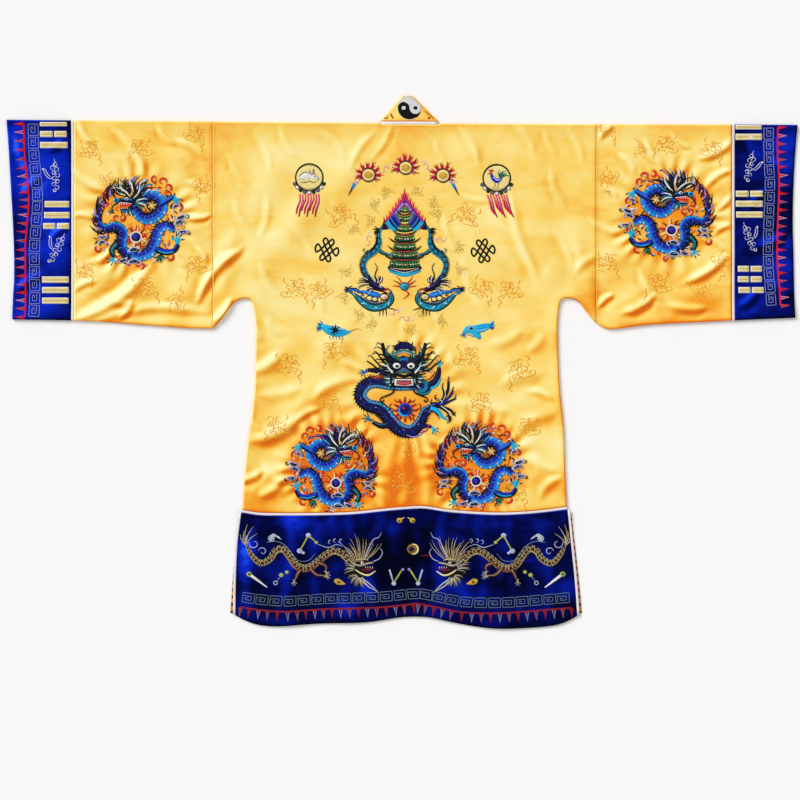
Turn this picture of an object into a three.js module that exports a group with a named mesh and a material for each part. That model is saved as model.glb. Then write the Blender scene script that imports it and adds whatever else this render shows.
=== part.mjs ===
// A wide-sleeved robe of embroidered satin, laid out flat with its back uppermost.
// Millimetres. X runs across the robe, Y from the hem up to the collar, Z up from the
// surface it lies on. The front panels lie on that surface, the back panel lies on them,
// and the cloth rolls over between the two along the shoulders, underarms and sides.
import * as THREE from "three";

// ---------- driving sizes ----------
const wall = 1.5; // satin, lining and stitching together
const seam = 0.3; // between two pieces that are sewn to each other
const roll = 3.6; // outer radius of the cloth where it turns over at a fold or side seam
const lie = 3.9; // outer height of the back where it lies closest on the front
const fade = 34; // how far from a rolled edge the cloth takes to come down to its lie
const ventFall = 0.6; // below the hem seam the open vents let the edges down, at this rate
const pipingWidth = 5.4;
const edgingReach = { left: { top: 4, bottom: 12 }, right: { top: 9, bottom: 12 } }; // past the back
const pipingCrown = 0.7; // how far a piping stands proud of the cloth beside it

const sleeveSeam = { left: -436, right: 438 }; // where each sleeve is joined to the body
const cuffSeam = { left: -755, right: 750 };
const armLine = { left: -349, right: 358 }; // the inner end of each underarm curve
const underarm = -402; // the top of the underarm curves
const sleeveLowest = -480; // no sleeve reaches lower
const hemSeamY = -888; // middle height of the hem seam, and all of it on the fronts
const hemLevel = -1140; // middle height of the back's lower edge
const frontHem = -1118; // the fronts end a little above the back

const collar = {
  centre: 12, // the neck sits a little off the middle, as it was laid
  width: 66, // of the band
  topLeft: -3, // ends of the short level top between the two folds
  topRight: 20,
  top: 61,
  base: 3.4, // the outer ends of the neck seam
  roll: 2.5, // of the band where it folds over to the front
  crown: 1.6, // how far the band stands up in the middle of the neck
};

// ---------- outline tables, a row for each point that the curve needs ----------
const shoulderLine = [
  { x: -905, y: 6 }, { x: -755, y: 4.5 }, { x: -436, y: 2 }, { x: -200, y: 0 },
  { x: 60, y: -2 }, { x: 438, y: -4 }, { x: 750, y: -5 }, { x: 896, y: -6 },
];
const underLeft = [
  { x: -905, y: -449 }, { x: -755, y: -451.5 }, { x: -640, y: -458 }, { x: -550, y: -465 },
  { x: -467, y: -470 }, { x: -436, y: -470 }, { x: -422, y: -463 }, { x: -409, y: -438 },
  { x: -396, y: -415 }, { x: -383, y: -404 }, { x: -364, y: -401 }, { x: -349, y: -402 },
];
const underRight = [
  { x: 358, y: -402 }, { x: 372, y: -401 }, { x: 393, y: -402 }, { x: 404, y: -411 },
  { x: 420, y: -436 }, { x: 438, y: -457 }, { x: 463, y: -473 }, { x: 490, y: -470 },
  { x: 560, y: -461 }, { x: 640, y: -457 }, { x: 750, y: -451.5 }, { x: 896, y: -445 },
];
const sideLeft = [
  { y: -402, x: -349 }, { y: -426, x: -342 }, { y: -458, x: -338 }, { y: -590, x: -340 },
  { y: -672, x: -347 }, { y: -735, x: -357 }, { y: -800, x: -363 }, { y: -893, x: -369 },
];
const sideRight = [
  { y: -402, x: 358 }, { y: -426, x: 353 }, { y: -458, x: 350 }, { y: -550, x: 352 },
  { y: -625, x: 356 }, { y: -700, x: 364 }, { y: -800, x: 367 }, { y: -893, x: 371 },
];
const cuffEdgeLeft = [
  { y: -449, x: -892 }, { y: -400, x: -891 }, { y: -344, x: -887 }, { y: -250, x: -890 },
  { y: -140, x: -896 }, { y: 6, x: -905 },
];
const cuffEdgeRight = [
  { y: -446, x: 891 }, { y: -400, x: 889 }, { y: -300, x: 887 }, { y: -220, x: 885 },
  { y: -120, x: 888 }, { y: -6, x: 896 },
];
const hemSeamLine = [
  { x: -365, y: -886 }, { x: -331, y: -893 }, { x: -228, y: -893 }, { x: -125, y: -891 },
  { x: -57, y: -884 }, { x: 11, y: -878 }, { x: 46, y: -876 }, { x: 82, y: -883 },
  { x: 148, y: -889 }, { x: 217, y: -892 }, { x: 285, y: -889 }, { x: 340, y: -883 },
  { x: 367, y: -879 },
];
const hemLine = [
  { x: -384, y: -1122 }, { x: -364, y: -1138 }, { x: -296, y: -1149 }, { x: -194, y: -1142 },
  { x: -91, y: -1140 }, { x: 11, y: -1126 }, { x: 46, y: -1126 }, { x: 114, y: -1140 },
  { x: 217, y: -1154 }, { x: 300, y: -1151 }, { x: 371, y: -1141 }, { x: 394, y: -1124 },
];
const bandLeft = [
  { y: -1150, x: -384 }, { y: -1056, x: -383 }, { y: -973, x: -380 }, { y: -878, x: -369 },
];
const bandRight = [
  { y: -1150, x: 395 }, { y: -1056, x: 389 }, { y: -973, x: 381 }, { y: -878, x: 371 },
];

// The largest folds of the back: the middle of each, the way it runs (degrees from +X),
// its length and width, and how far its ridge stands up.
const folds = [
  // from the neck out to the underarms
  { x: -78, y: -62, turn: -50, length: 150, width: 56, rise: 3.4 },
  { x: -20, y: -84, turn: -56, length: 170, width: 52, rise: 3.6 },
  { x: 158, y: -80, turn: -60, length: 230, width: 66, rise: 5.0 },
  { x: 232, y: -72, turn: -52, length: 190, width: 68, rise: 4.2 },
  { x: 300, y: -120, turn: -58, length: 240, width: 70, rise: 3.8 },
  { x: 246, y: -238, turn: -58, length: 300, width: 76, rise: 6.0 },
  { x: 318, y: -262, turn: -64, length: 250, width: 72, rise: 5.0 },
  { x: 190, y: -300, turn: -46, length: 190, width: 60, rise: 3.8 },
  { x: -132, y: -128, turn: -116, length: 250, width: 66, rise: 4.0 },
  { x: -236, y: -222, turn: -128, length: 330, width: 80, rise: 5.0 },
  { x: -300, y: -120, turn: -104, length: 230, width: 74, rise: 3.4 },
  // up from the underarms
  { x: -402, y: -316, turn: 74, length: 210, width: 56, rise: 6.6 },
  { x: -330, y: -322, turn: 102, length: 190, width: 62, rise: 5.2 },
  { x: 404, y: -322, turn: 108, length: 200, width: 56, rise: 6.2 },
  { x: 338, y: -352, turn: 70, length: 130, width: 54, rise: 4.4 },
  // left sleeve
  { x: -664, y: -54, turn: -50, length: 150, width: 56, rise: 4.8 },
  { x: -592, y: -92, turn: -56, length: 170, width: 58, rise: 4.4 },
  { x: -716, y: -150, turn: -34, length: 110, width: 52, rise: 4.0 },
  { x: -684, y: -350, turn: 28, length: 170, width: 58, rise: 5.4 },
  { x: -622, y: -398, turn: 38, length: 200, width: 62, rise: 6.2 },
  { x: -508, y: -404, turn: 64, length: 160, width: 62, rise: 4.6 },
  { x: -480, y: -216, turn: 4, length: 90, width: 44, rise: 3.2 },
  { x: -506, y: -96, turn: -78, length: 150, width: 60, rise: 3.6 },
  // right sleeve
  { x: 538, y: -64, turn: -58, length: 150, width: 54, rise: 5.0 },
  { x: 602, y: -66, turn: -62, length: 140, width: 54, rise: 4.4 },
  { x: 706, y: -64, turn: 28, length: 130, width: 50, rise: 4.6 },
  { x: 716, y: -128, turn: 30, length: 110, width: 46, rise: 4.0 },
  { x: 704, y: -330, turn: 34, length: 170, width: 58, rise: 5.4 },
  { x: 640, y: -412, turn: 16, length: 210, width: 58, rise: 5.0 },
  { x: 524, y: -408, turn: 34, length: 200, width: 60, rise: 5.8 },
  { x: 492, y: -300, turn: 40, length: 150, width: 54, rise: 4.2 },
  { x: 474, y: -214, turn: -16, length: 120, width: 46, rise: 3.4 },
  // lower back
  { x: -296, y: -536, turn: 26, length: 180, width: 64, rise: 4.8 },
  { x: -208, y: -628, turn: 34, length: 230, width: 72, rise: 5.6 },
  { x: -300, y: -700, turn: 26, length: 190, width: 66, rise: 5.0 },
  { x: -292, y: -812, turn: 38, length: 210, width: 68, rise: 6.2 },
  { x: -150, y: -502, turn: 52, length: 200, width: 66, rise: 4.6 },
  { x: 96, y: -536, turn: -48, length: 190, width: 62, rise: 4.2 },
  { x: 214, y: -566, turn: -38, length: 220, width: 68, rise: 4.8 },
  { x: 290, y: -482, turn: -34, length: 200, width: 64, rise: 4.6 },
  { x: 306, y: -656, turn: -34, length: 190, width: 66, rise: 5.4 },
  { x: 300, y: -804, turn: -44, length: 200, width: 68, rise: 6.0 },
  { x: -22, y: -790, turn: 84, length: 250, width: 60, rise: 5.0 },
  { x: 48, y: -770, turn: 94, length: 220, width: 56, rise: 4.4 },
  // down through the hem band
  { x: -338, y: -1010, turn: 84, length: 240, width: 70, rise: 5.0 },
  { x: -250, y: -1036, turn: 88, length: 330, width: 88, rise: 7.0 },
  { x: -128, y: -1030, turn: 96, length: 320, width: 84, rise: 5.8 },
  { x: -16, y: -1010, turn: 82, length: 260, width: 62, rise: 4.4 },
  { x: 104, y: -1030, turn: 80, length: 330, width: 88, rise: 6.0 },
  { x: 228, y: -1046, turn: 92, length: 310, width: 88, rise: 6.8 },
  { x: 340, y: -1034, turn: 98, length: 270, width: 72, rise: 5.4 },
];

// ---------- curves and heights ----------
// A smooth curve through a table's rows that never overshoots them.
function curve(rows, from, to) {
  const points = [...rows].sort((a, b) => a[from] - b[from]);
  const slope = (i) => {
    const rise = (k) => (points[k + 1][to] - points[k][to]) / (points[k + 1][from] - points[k][from]);
    if (i === 0) return rise(0);
    if (i === points.length - 1) return rise(i - 1);
    const before = rise(i - 1);
    const after = rise(i);
    return before * after <= 0 ? 0 : (2 * before * after) / (before + after);
  };
  const slopes = points.map((_, i) => slope(i));
  return (value) => {
    const v = THREE.MathUtils.clamp(value, points[0][from], points[points.length - 1][from]);
    let i = 0;
    while (i < points.length - 2 && v > points[i + 1][from]) i += 1;
    const span = points[i + 1][from] - points[i][from];
    const t = (v - points[i][from]) / span;
    const a = points[i][to];
    const b = points[i + 1][to];
    return (
      a + (b - a) * t * t * (3 - 2 * t)
      + span * t * (1 - t) * (slopes[i] * (1 - t) - slopes[i + 1] * t)
    );
  };
}

const shoulder = curve(shoulderLine, "x", "y");
const underL = curve(underLeft, "x", "y");
const underR = curve(underRight, "x", "y");
const sideL = curve(sideLeft, "y", "x");
const sideR = curve(sideRight, "y", "x");
const cuffL = curve(cuffEdgeLeft, "y", "x");
const cuffR = curve(cuffEdgeRight, "y", "x");
const hemSeam = curve(hemSeamLine, "x", "y");
const hem = curve(hemLine, "x", "y");
const bandL = curve(bandLeft, "y", "x");
const bandR = curve(bandRight, "y", "x");

const lerp = THREE.MathUtils.lerp;
const armX = (side) => armLine[side] - Math.sign(armLine[side]) * roll;
const shoulderIn = (x) => shoulder(x) - roll;
const underIn = (x) => (x < 0 ? underL(x) : underR(x)) + roll;

// How far a point lies inside the rolled edges. The hem and the cuffs' mouths don't roll.
function inset(x, y) {
  const below = shoulderIn(x) - y;
  const beside = x < armLine.left || x > armLine.right;
  if (beside && y > sleeveLowest) return Math.min(below, y - underIn(x));
  if (y > underarm) {
    const corner = armX(x < 0 ? "left" : "right");
    return Math.min(below, Math.hypot(x - corner, y - underarm - roll));
  }
  const side = Math.max(0, Math.min(x - sideL(y) - roll, sideR(y) - roll - x));
  return side + Math.max(0, hemSeam(x) - y) * ventFall;
}

function foldRise(x, y) {
  let rise = 0;
  for (const f of folds) {
    const turn = THREE.MathUtils.degToRad(f.turn);
    const dx = x - f.x;
    const dy = y - f.y;
    const along = (dx * Math.cos(turn) + dy * Math.sin(turn)) / (f.length / 2);
    const across = (dy * Math.cos(turn) - dx * Math.sin(turn)) / (f.width / 2);
    if (Math.abs(along) < 1 && Math.abs(across) < 1) {
      rise += f.rise * (1 - along * along) ** 2 * (1 - across * across) ** 2;
    }
  }
  return rise;
}

// Outer height of the back layer above the surface.
function height(x, y) {
  const t = THREE.MathUtils.smoothstep(inset(x, y), 0, fade);
  return Math.max(lie, lerp(2 * roll, lie, t) + foldRise(x, y) * t);
}

// ---------- walls ----------
// A wall is a set of paired points, one on each face of the cloth, and the quads that
// join them. Quads on one side only get the other face, and open edges get their rims.
class Wall {
  constructor() {
    this.outer = [];
    this.inner = [];
    this.quads = [];
  }

  pair(outer, inner) {
    this.outer.push(outer);
    this.inner.push(inner);
    return this.outer.length - 1;
  }

  quad(a, b, c, d) {
    this.quads.push([a, b, c, d]);
  }

  // rows of point numbers; closed joins the last row to the first
  net(rows, closed = false) {
    const last = closed ? rows.length : rows.length - 1;
    for (let j = 0; j < last; j += 1) {
      const a = rows[j];
      const b = rows[(j + 1) % rows.length];
      for (let i = 0; i + 1 < a.length; i += 1) this.quad(a[i], a[i + 1], b[i + 1], b[i]);
    }
  }

  geometry() {
    const count = this.outer.length;
    const triangles = [];
    const edges = new Set();
    const key = (a, b) => a + "_" + b;
    for (const q of this.quads) {
      const [a, b, c, d] = q;
      triangles.push([a, b, c], [a, c, d]);
      triangles.push([a + count, c + count, b + count], [a + count, d + count, c + count]);
      q.forEach((v, i) => edges.add(key(v, q[(i + 1) % 4])));
    }
    for (const q of this.quads) {
      q.forEach((v, i) => {
        const w = q[(i + 1) % 4];
        if (edges.has(key(w, v))) return;
        triangles.push([v, v + count, w + count], [v, w + count, w]);
      });
    }
    const points = [...this.outer, ...this.inner];
    let volume = 0;
    for (const [a, b, c] of triangles) {
      volume += points[a].dot(new THREE.Vector3().crossVectors(points[b], points[c]));
    }
    const index = triangles.flatMap((t) => (volume < 0 ? [t[0], t[2], t[1]] : t));
    const positions = new Float32Array(points.flatMap((p) => [p.x, p.y, p.z]));
    const g = new THREE.BufferGeometry();
    g.setAttribute("position", new THREE.BufferAttribute(positions, 3));
    g.setIndex(index);
    g.computeVertexNormals();
    return g;
  }
}

const point = (x, y, z) => new THREE.Vector3(x, y, z);
const steps = (n, from = 0, to = 1) => Array.from({ length: n + 1 }, (_, i) => lerp(from, to, i / n));

// One point pair of the back layer, or of the front layer under it.
function backPair(w, x, y, proud = 0) {
  const z = height(x, y);
  return w.pair(point(x, y, z + proud), point(x, y, z - wall));
}

function frontPair(w, x, y) {
  return w.pair(point(x, y, 0), point(x, y, wall));
}

// The pair at an angle round a roll: 0 is the top of the back layer, 180 the underside.
function rollPair(w, centre, outward, angle, radius = roll, proud = 0) {
  const a = THREE.MathUtils.degToRad(angle);
  const on = (r) => point(
    centre.x + outward.x * r * Math.sin(a),
    centre.y + outward.y * r * Math.sin(a),
    radius + r * Math.cos(a),
  );
  return w.pair(on(radius + proud * Math.max(0, Math.cos(a / 2))), on(radius - wall));
}

// Rolls the edge of a sheet outwards along a chain of its points, down to the seam that
// it shares with the other layer at half height. side is 1 for the back, -1 for a front.
function rollEdge(w, chain, side) {
  const turns = 3;
  const stop = 90 - THREE.MathUtils.radToDeg(Math.asin(seam / 2 / (roll - wall)));
  const rows = [chain];
  const places = chain.map((id) => w.outer[id]);
  const outward = places.map((p, i) => {
    const a = places[Math.max(0, i - 1)];
    const b = places[Math.min(places.length - 1, i + 1)];
    return new THREE.Vector2(b.y - a.y, a.x - b.x).normalize();
  });
  for (let k = 1; k <= turns; k += 1) {
    const angle = (stop * k) / turns;
    rows.push(places.map((p, i) => rollPair(w, p, outward[i], side > 0 ? angle : 180 - angle)));
  }
  w.net(rows.map((row) => row.slice().reverse()));
}

// ---------- sleeves and cuffs: flattened tubes ----------
const across = { back: 17, front: 4, turn: 4 };

// One ring round a sleeve: down the back layer, round the lower edge, up the front
// layer and round the shoulder fold. xAt gives the ring's x at a height y.
function ring(w, xAt, xMid, proud = 0) {
  const top = shoulderIn(xMid);
  const bottom = underIn(xMid);
  const ids = [];
  const down = new THREE.Vector2(0, -1);
  const up = new THREE.Vector2(0, 1);
  for (const y of steps(across.back, top, bottom)) ids.push(backPair(w, xAt(y), y, proud));
  for (const a of steps(across.turn, 0, 180).slice(1, -1)) {
    ids.push(rollPair(w, { x: xAt(bottom), y: bottom }, down, a, roll, proud));
  }
  for (const y of steps(across.front, bottom, top)) ids.push(frontPair(w, xAt(y), y));
  for (const a of steps(across.turn, 180, 0).slice(1, -1)) {
    ids.push(rollPair(w, { x: xAt(top), y: top }, up, a, roll, proud));
  }
  return [...ids, ids[0]];
}

function tube(stations) {
  const w = new Wall();
  w.net(stations.map((s) => ring(w, s.xAt, s.xMid, s.proud ?? 0)));
  return w.geometry();
}

function sleeve(side) {
  const out = Math.sign(sleeveSeam[side]);
  const from = sleeveSeam[side] + (out * seam) / 2;
  const to = cuffSeam[side] - out * (pipingWidth / 2 + seam);
  return tube(steps(11).map((f) => {
    const x = lerp(from, to, f ** 1.35); // closer together near the underarm
    return { xAt: () => x, xMid: x };
  }));
}

function cuffPiping(side) {
  const half = pipingWidth / 2;
  const rows = [[-half, 0], [-half / 2, pipingCrown], [half / 2, pipingCrown], [half, 0]];
  return tube(rows.map(([d, proud]) => {
    const x = cuffSeam[side] + d;
    return { xAt: () => x, xMid: x, proud };
  }));
}

function cuff(side) {
  const out = Math.sign(cuffSeam[side]);
  const from = cuffSeam[side] + out * (pipingWidth / 2 + seam);
  const edge = out < 0 ? cuffL : cuffR;
  return tube(steps(4).map((f) => ({
    xAt: (y) => lerp(from, edge(y), f),
    xMid: lerp(from, edge(underarm / 2), f),
  })));
}

// ---------- body panels ----------
// Rows run from the shoulder to the hem seam. The wings are the parts between the sleeve
// seams and the underarm curves, and they end at the underarm row.
const grid = { wing: 4, rowsAbove: 14, rowsBelow: 17 };

// The back's columns as shares of its width, with one at each end of the neck seam.
const neckShare = (side) => {
  const x = collar.centre + side * (collar.width + 1);
  return (x - armX("left")) / (armX("right") - armX("left"));
};
const backShares = [
  ...steps(10, 0, neckShare(-1)),
  ...steps(5, neckShare(-1), neckShare(1)).slice(1),
  ...steps(10, neckShare(1), 1).slice(1),
];
const seamTop = pipingWidth / 2 + seam; // from the hem seam's middle up to the satin

function bodyPoint(limits, share, j) {
  const { rowsAbove, rowsBelow } = grid;
  if (j <= rowsAbove) {
    const x = lerp(limits.left(underarm), limits.right(underarm), share);
    return { x, y: lerp(shoulderIn(x), underarm + roll, j / rowsAbove) };
  }
  const f = (j - rowsAbove) / rowsBelow;
  const level = lerp(underarm + roll, hemSeamY, f);
  const x = lerp(limits.left(level), limits.right(level), share);
  return { x, y: lerp(underarm + roll, limits.hem(x), f) };
}

function bodyNet(w, make, limits, shares) {
  const rows = steps(grid.rowsAbove + grid.rowsBelow).map((_, j) => j);
  const net = shares.map((share) => rows.map((j) => {
    const p = bodyPoint(limits, share, j);
    return make(w, p.x, p.y);
  }));
  w.net(net);
  return net;
}

// Where a body panel's flat part ends and its side starts to roll over.
function sideAt(side) {
  const edge = side === "left" ? (y) => sideL(y) + roll : (y) => sideR(y) - roll;
  return (y) => (y < underarm ? edge(y) : armX(side));
}

function wingPoint(side, i, j) {
  const x = lerp(sleeveSeam[side] - (Math.sign(sleeveSeam[side]) * seam) / 2, armX(side), i / grid.wing);
  const bottom = i === grid.wing ? underarm + roll : underIn(x);
  return { x, y: lerp(shoulderIn(x), bottom, j / grid.rowsAbove) };
}

function wing(w, make, side, edgeColumn) {
  const columns = [];
  for (let i = 0; i < grid.wing; i += 1) {
    const column = [];
    for (let j = 0; j <= grid.rowsAbove; j += 1) {
      const p = wingPoint(side, i, j);
      column.push(make(w, p.x, p.y));
    }
    columns.push(column);
  }
  columns.push(edgeColumn.slice(0, grid.rowsAbove + 1));
  w.net(side === "left" ? columns : columns.slice().reverse());
  return columns;
}

function backPanel() {
  const w = new Wall();
  const limits = { left: sideAt("left"), right: sideAt("right"), hem: (x) => hemSeam(x) + seamTop };
  const net = bodyNet(w, backPair, limits, backShares);
  const last = net[net.length - 1];
  const left = wing(w, backPair, "left", net[0]);
  const right = wing(w, backPair, "right", last);
  const top = [...left.slice(0, -1), ...net, ...right.slice(0, -1).reverse()].map((c) => c[0]);
  const fromNeck = (id) => (w.outer[id].x - collar.centre) / collar.width;
  rollEdge(w, top.filter((id) => fromNeck(id) < -1).reverse(), 1);
  rollEdge(w, top.filter((id) => fromNeck(id) > 1).reverse(), 1);
  const under = (wings) => wings.slice(0, -1).map((c) => c[grid.rowsAbove]);
  const side = (column) => column.slice(grid.rowsAbove);
  rollEdge(w, [...under(left), ...side(net[0])], 1);
  rollEdge(w, [...under(right), ...side(last)].reverse(), 1);
  return w.geometry();
}

// Where a front ends and the collar's band begins.
const bandEdge = (side) => collar.centre + (side === "left" ? -1 : 1) * (collar.width + seam);

function frontPanel(side) {
  const w = new Wall();
  const isLeft = side === "left";
  const atBand = () => bandEdge(side);
  const limits = {
    left: isLeft ? sideAt(side) : atBand,
    right: isLeft ? atBand : sideAt(side),
    hem: () => hemSeamY + seamTop,
  };
  const net = bodyNet(w, frontPair, limits, steps(4));
  const edge = isLeft ? net[0] : net[net.length - 1];
  const wings = wing(w, frontPair, side, edge).slice(0, -1);
  const columns = isLeft ? [...wings, ...net] : [...net, ...wings.slice().reverse()];
  rollEdge(w, columns.map((c) => c[0]).reverse(), -1);
  const chain = [...wings.map((c) => c[grid.rowsAbove]), ...edge.slice(grid.rowsAbove)];
  rollEdge(w, isLeft ? chain : chain.reverse(), -1);
  return w.geometry();
}

// ---------- hem bands, pipings and edgings ----------
function sheet(make, columns, rows, place) {
  const w = new Wall();
  const list = Array.isArray(columns) ? columns : steps(columns);
  w.net(list.map((u) => steps(rows).map((v) => {
    const p = place(u, v);
    return make(w, p.x, p.y, p.proud ?? 0);
  })));
  return w.geometry();
}

const seamLow = pipingWidth / 2 + seam;

// The back's columns where they reach the hem seam, shared by all that meets there.
const seamColumns = [
  bandL(hemSeamY),
  ...backShares.map((share) => lerp(sideL(hemSeamY) + roll, sideR(hemSeamY) - roll, share)),
  bandR(hemSeamY),
];

const bandRows = 8;

function bandPoint(u, v) {
  const y = lerp(hemSeamY, hemLevel, v);
  const x = lerp(bandL(y), bandR(y), u);
  return { x, y: lerp(hemSeam(x) - seamLow, hem(x), v) };
}

function backBand() {
  const first = bandL(hemSeamY);
  const wide = bandR(hemSeamY) - first;
  return sheet(backPair, seamColumns, bandRows, (column, v) => bandPoint((column - first) / wide, v));
}

function backHemPiping() {
  return sheet(backPair, seamColumns, 3, (x, v) => {
    const d = lerp(pipingWidth / 2, -pipingWidth / 2, v);
    return { x, y: hemSeam(x) + d, proud: v > 0 && v < 1 ? pipingCrown : 0 };
  });
}

// The vents' pipings run down both sides of the back band, moved out from its edges.
function ventPiping(side) {
  const isLeft = side === "left";
  const out = isLeft ? -1 : 1;
  return sheet(backPair, 3, bandRows, (u, v) => {
    const edge = bandPoint(isLeft ? 0 : 1, v);
    const proud = u > 0 && u < 1 ? pipingCrown : 0;
    return { x: edge.x + out * (seam + pipingWidth * u), y: edge.y, proud };
  });
}

const frontBandRows = 6;

function frontBand(side) {
  const isLeft = side === "left";
  const edge = isLeft ? bandL : bandR;
  return sheet(frontPair, 3, frontBandRows, (u, v) => {
    const y = lerp(hemSeamY - seamLow, frontHem, v);
    return { x: lerp(edge(y), bandEdge(side), u), y };
  });
}

// The fronts' vent edges are bound with an edging that shows past the back.
function ventEdging(side) {
  const isLeft = side === "left";
  const edge = isLeft ? bandL : bandR;
  const out = isLeft ? -1 : 1;
  return sheet(frontPair, 1, frontBandRows, (u, v) => {
    const y = lerp(hemSeamY - seamLow, frontHem, v);
    const reach = lerp(edgingReach[side].top, edgingReach[side].bottom, v * v);
    return { x: edge(y) + out * lerp(seam, reach, u), y };
  });
}

function frontHemPiping(side) {
  const isLeft = side === "left";
  const outerX = isLeft ? sideL(hemSeamY) + 1 : sideR(hemSeamY) - 1;
  return sheet(frontPair, 3, 1, (u, v) => ({
    x: lerp(outerX, bandEdge(side), u),
    y: hemSeamY + lerp(pipingWidth / 2, -pipingWidth / 2, v),
  }));
}

// ---------- collar ----------
// One straight band: up the left front, folded over at the neck, across the back of the
// neck, folded back and down the right front. Each row is a section from the band's sewn
// edge to its free edge.
const inner = (p, outward) => ({ x: p.x - outward.x * collar.roll, y: p.y - outward.y * collar.roll });

// The fold on one side of the neck: its two ends, pulled in to the middle of the roll,
// and the way it faces.
function neckFold(side) {
  const sewn = { x: collar.centre + side * collar.width, y: collar.base };
  const free = { x: side < 0 ? collar.topLeft : collar.topRight, y: collar.top };
  const along = new THREE.Vector2(free.x - sewn.x, free.y - sewn.y).normalize();
  const outward = new THREE.Vector2(side * along.y, -side * along.x);
  return { sewn: inner(sewn, outward), free: inner(free, outward), outward };
}

const neckTop = (t) => 2 * collar.roll + collar.crown * Math.sin(Math.PI * t);

function collarBand() {
  const w = new Wall();
  const widthSteps = 3;
  const legTop = -70; // from here up, the band slants towards its fold
  const section = (a, b, make) => steps(widthSteps).map((t) => make(lerp(a.x, b.x, t), lerp(a.y, b.y, t)));
  const flat = (x, y) => frontPair(w, x, y);
  const leg = (side) => {
    const fold = neckFold(side);
    const sewnX = collar.centre + side * collar.width;
    const freeX = collar.centre + side * 0.5;
    const rows = steps(6, frontHem, legTop).map((y) => section({ x: sewnX, y }, { x: freeX, y }, flat));
    for (const t of steps(3).slice(1)) {
      const sewn = { x: lerp(sewnX, fold.sewn.x, t), y: lerp(legTop, fold.sewn.y, t) };
      const free = { x: lerp(freeX, fold.free.x, t), y: lerp(legTop, fold.free.y, t) };
      rows.push(section(sewn, free, flat));
    }
    const turned = (angle) => (x, y) => rollPair(w, { x, y }, fold.outward, angle, collar.roll);
    for (const angle of steps(5, 180, 0).slice(1)) {
      rows.push(section(fold.sewn, fold.free, turned(angle)));
    }
    return rows;
  };
  const left = leg(-1);
  const right = leg(1);
  const ends = [left, right].map((rows) => rows[rows.length - 1].map((id) => w.outer[id]));
  const middle = steps(6).slice(1, -1).map((t) => steps(widthSteps).map((across, i) => {
    const z = lerp(neckTop(t), 2 * collar.roll, across);
    const x = lerp(ends[0][i].x, ends[1][i].x, t);
    const y = lerp(ends[0][i].y, ends[1][i].y, t);
    return w.pair(point(x, y, z), point(x, y, z - wall));
  }));
  w.net([...left, ...middle, ...right.slice().reverse()]);
  return w.geometry();
}

// The piping bridges from the back panel's top edge up to the band.
function neckPiping() {
  const w = new Wall();
  const left = neckFold(-1).sewn;
  const right = neckFold(1).sewn;
  w.net(steps(8).map((u) => {
    const x = lerp(left.x, right.x, u);
    const top = lerp(left.y, right.y, u) - seam;
    return steps(3).map((v) => {
      const y = lerp(shoulderIn(x) + seam, top, v);
      const z = lerp(2 * roll, neckTop(u), v);
      const proud = v > 0 && v < 1 ? pipingCrown : 0;
      return w.pair(point(x, y, z + proud), point(x, y, z - wall));
    });
  }));
  return w.geometry();
}

// ---------- the robe ----------
const satin = new THREE.MeshStandardMaterial({ color: 0xf6b93b, roughness: 0.42, metalness: 0 });
const blue = new THREE.MeshStandardMaterial({ color: 0x0a1f9c, roughness: 0.4, metalness: 0 });
const white = new THREE.MeshStandardMaterial({ color: 0xf2eef0, roughness: 0.55, metalness: 0 });
const orange = new THREE.MeshStandardMaterial({ color: 0xe88a1c, roughness: 0.5, metalness: 0 });

const robe = new THREE.Group();
function add(name, geometry, material) {
  const mesh = new THREE.Mesh(geometry, material);
  mesh.name = name;
  robe.add(mesh);
}

add("back", backPanel(), satin);
add("collar", collarBand(), satin);
add("neck_piping", neckPiping(), white);
add("hem_band_back", backBand(), blue);
add("hem_piping_back", backHemPiping(), white);
for (const side of ["left", "right"]) {
  add("front_" + side, frontPanel(side), satin);
  add("sleeve_" + side, sleeve(side), satin);
  add("cuff_" + side, cuff(side), blue);
  add("cuff_piping_" + side, cuffPiping(side), white);
  add("hem_band_front_" + side, frontBand(side), blue);
  add("hem_piping_front_" + side, frontHemPiping(side), white);
  add("vent_piping_" + side, ventPiping(side), white);
  add("vent_edging_" + side, ventEdging(side), orange);
}

// The origin is the middle of the robe's outline, on the surface it lies on.
const box = new THREE.Box3().setFromObject(robe);
const middle = box.getCenter(new THREE.Vector3());
robe.position.set(-middle.x, -middle.y, 0);

export default robe;
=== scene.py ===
import math
import random
import bmesh
import bpy
import numpy as np
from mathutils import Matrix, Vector
from mathutils.bvhtree import BVHTree
from mathutils.kdtree import KDTree


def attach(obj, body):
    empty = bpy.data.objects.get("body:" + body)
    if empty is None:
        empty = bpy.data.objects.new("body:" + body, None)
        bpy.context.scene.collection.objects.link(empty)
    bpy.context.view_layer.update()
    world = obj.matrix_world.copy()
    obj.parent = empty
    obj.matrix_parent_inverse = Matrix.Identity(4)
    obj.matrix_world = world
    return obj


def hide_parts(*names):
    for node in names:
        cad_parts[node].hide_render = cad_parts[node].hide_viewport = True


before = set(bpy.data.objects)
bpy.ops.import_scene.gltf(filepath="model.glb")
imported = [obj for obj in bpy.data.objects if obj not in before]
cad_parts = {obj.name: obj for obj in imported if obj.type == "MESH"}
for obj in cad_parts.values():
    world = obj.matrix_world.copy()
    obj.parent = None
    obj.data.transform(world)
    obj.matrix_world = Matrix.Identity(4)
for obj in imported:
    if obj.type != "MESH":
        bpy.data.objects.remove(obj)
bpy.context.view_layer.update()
scene = bpy.context.scene

# What is creased or sewn is placed on a chart of small squares, counted from the left and from the top.
chart = {"square": 0.00228, "midColumn": 404.0, "topRow": 122.5, "x": 0.0045, "y": 0.5465}


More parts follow.
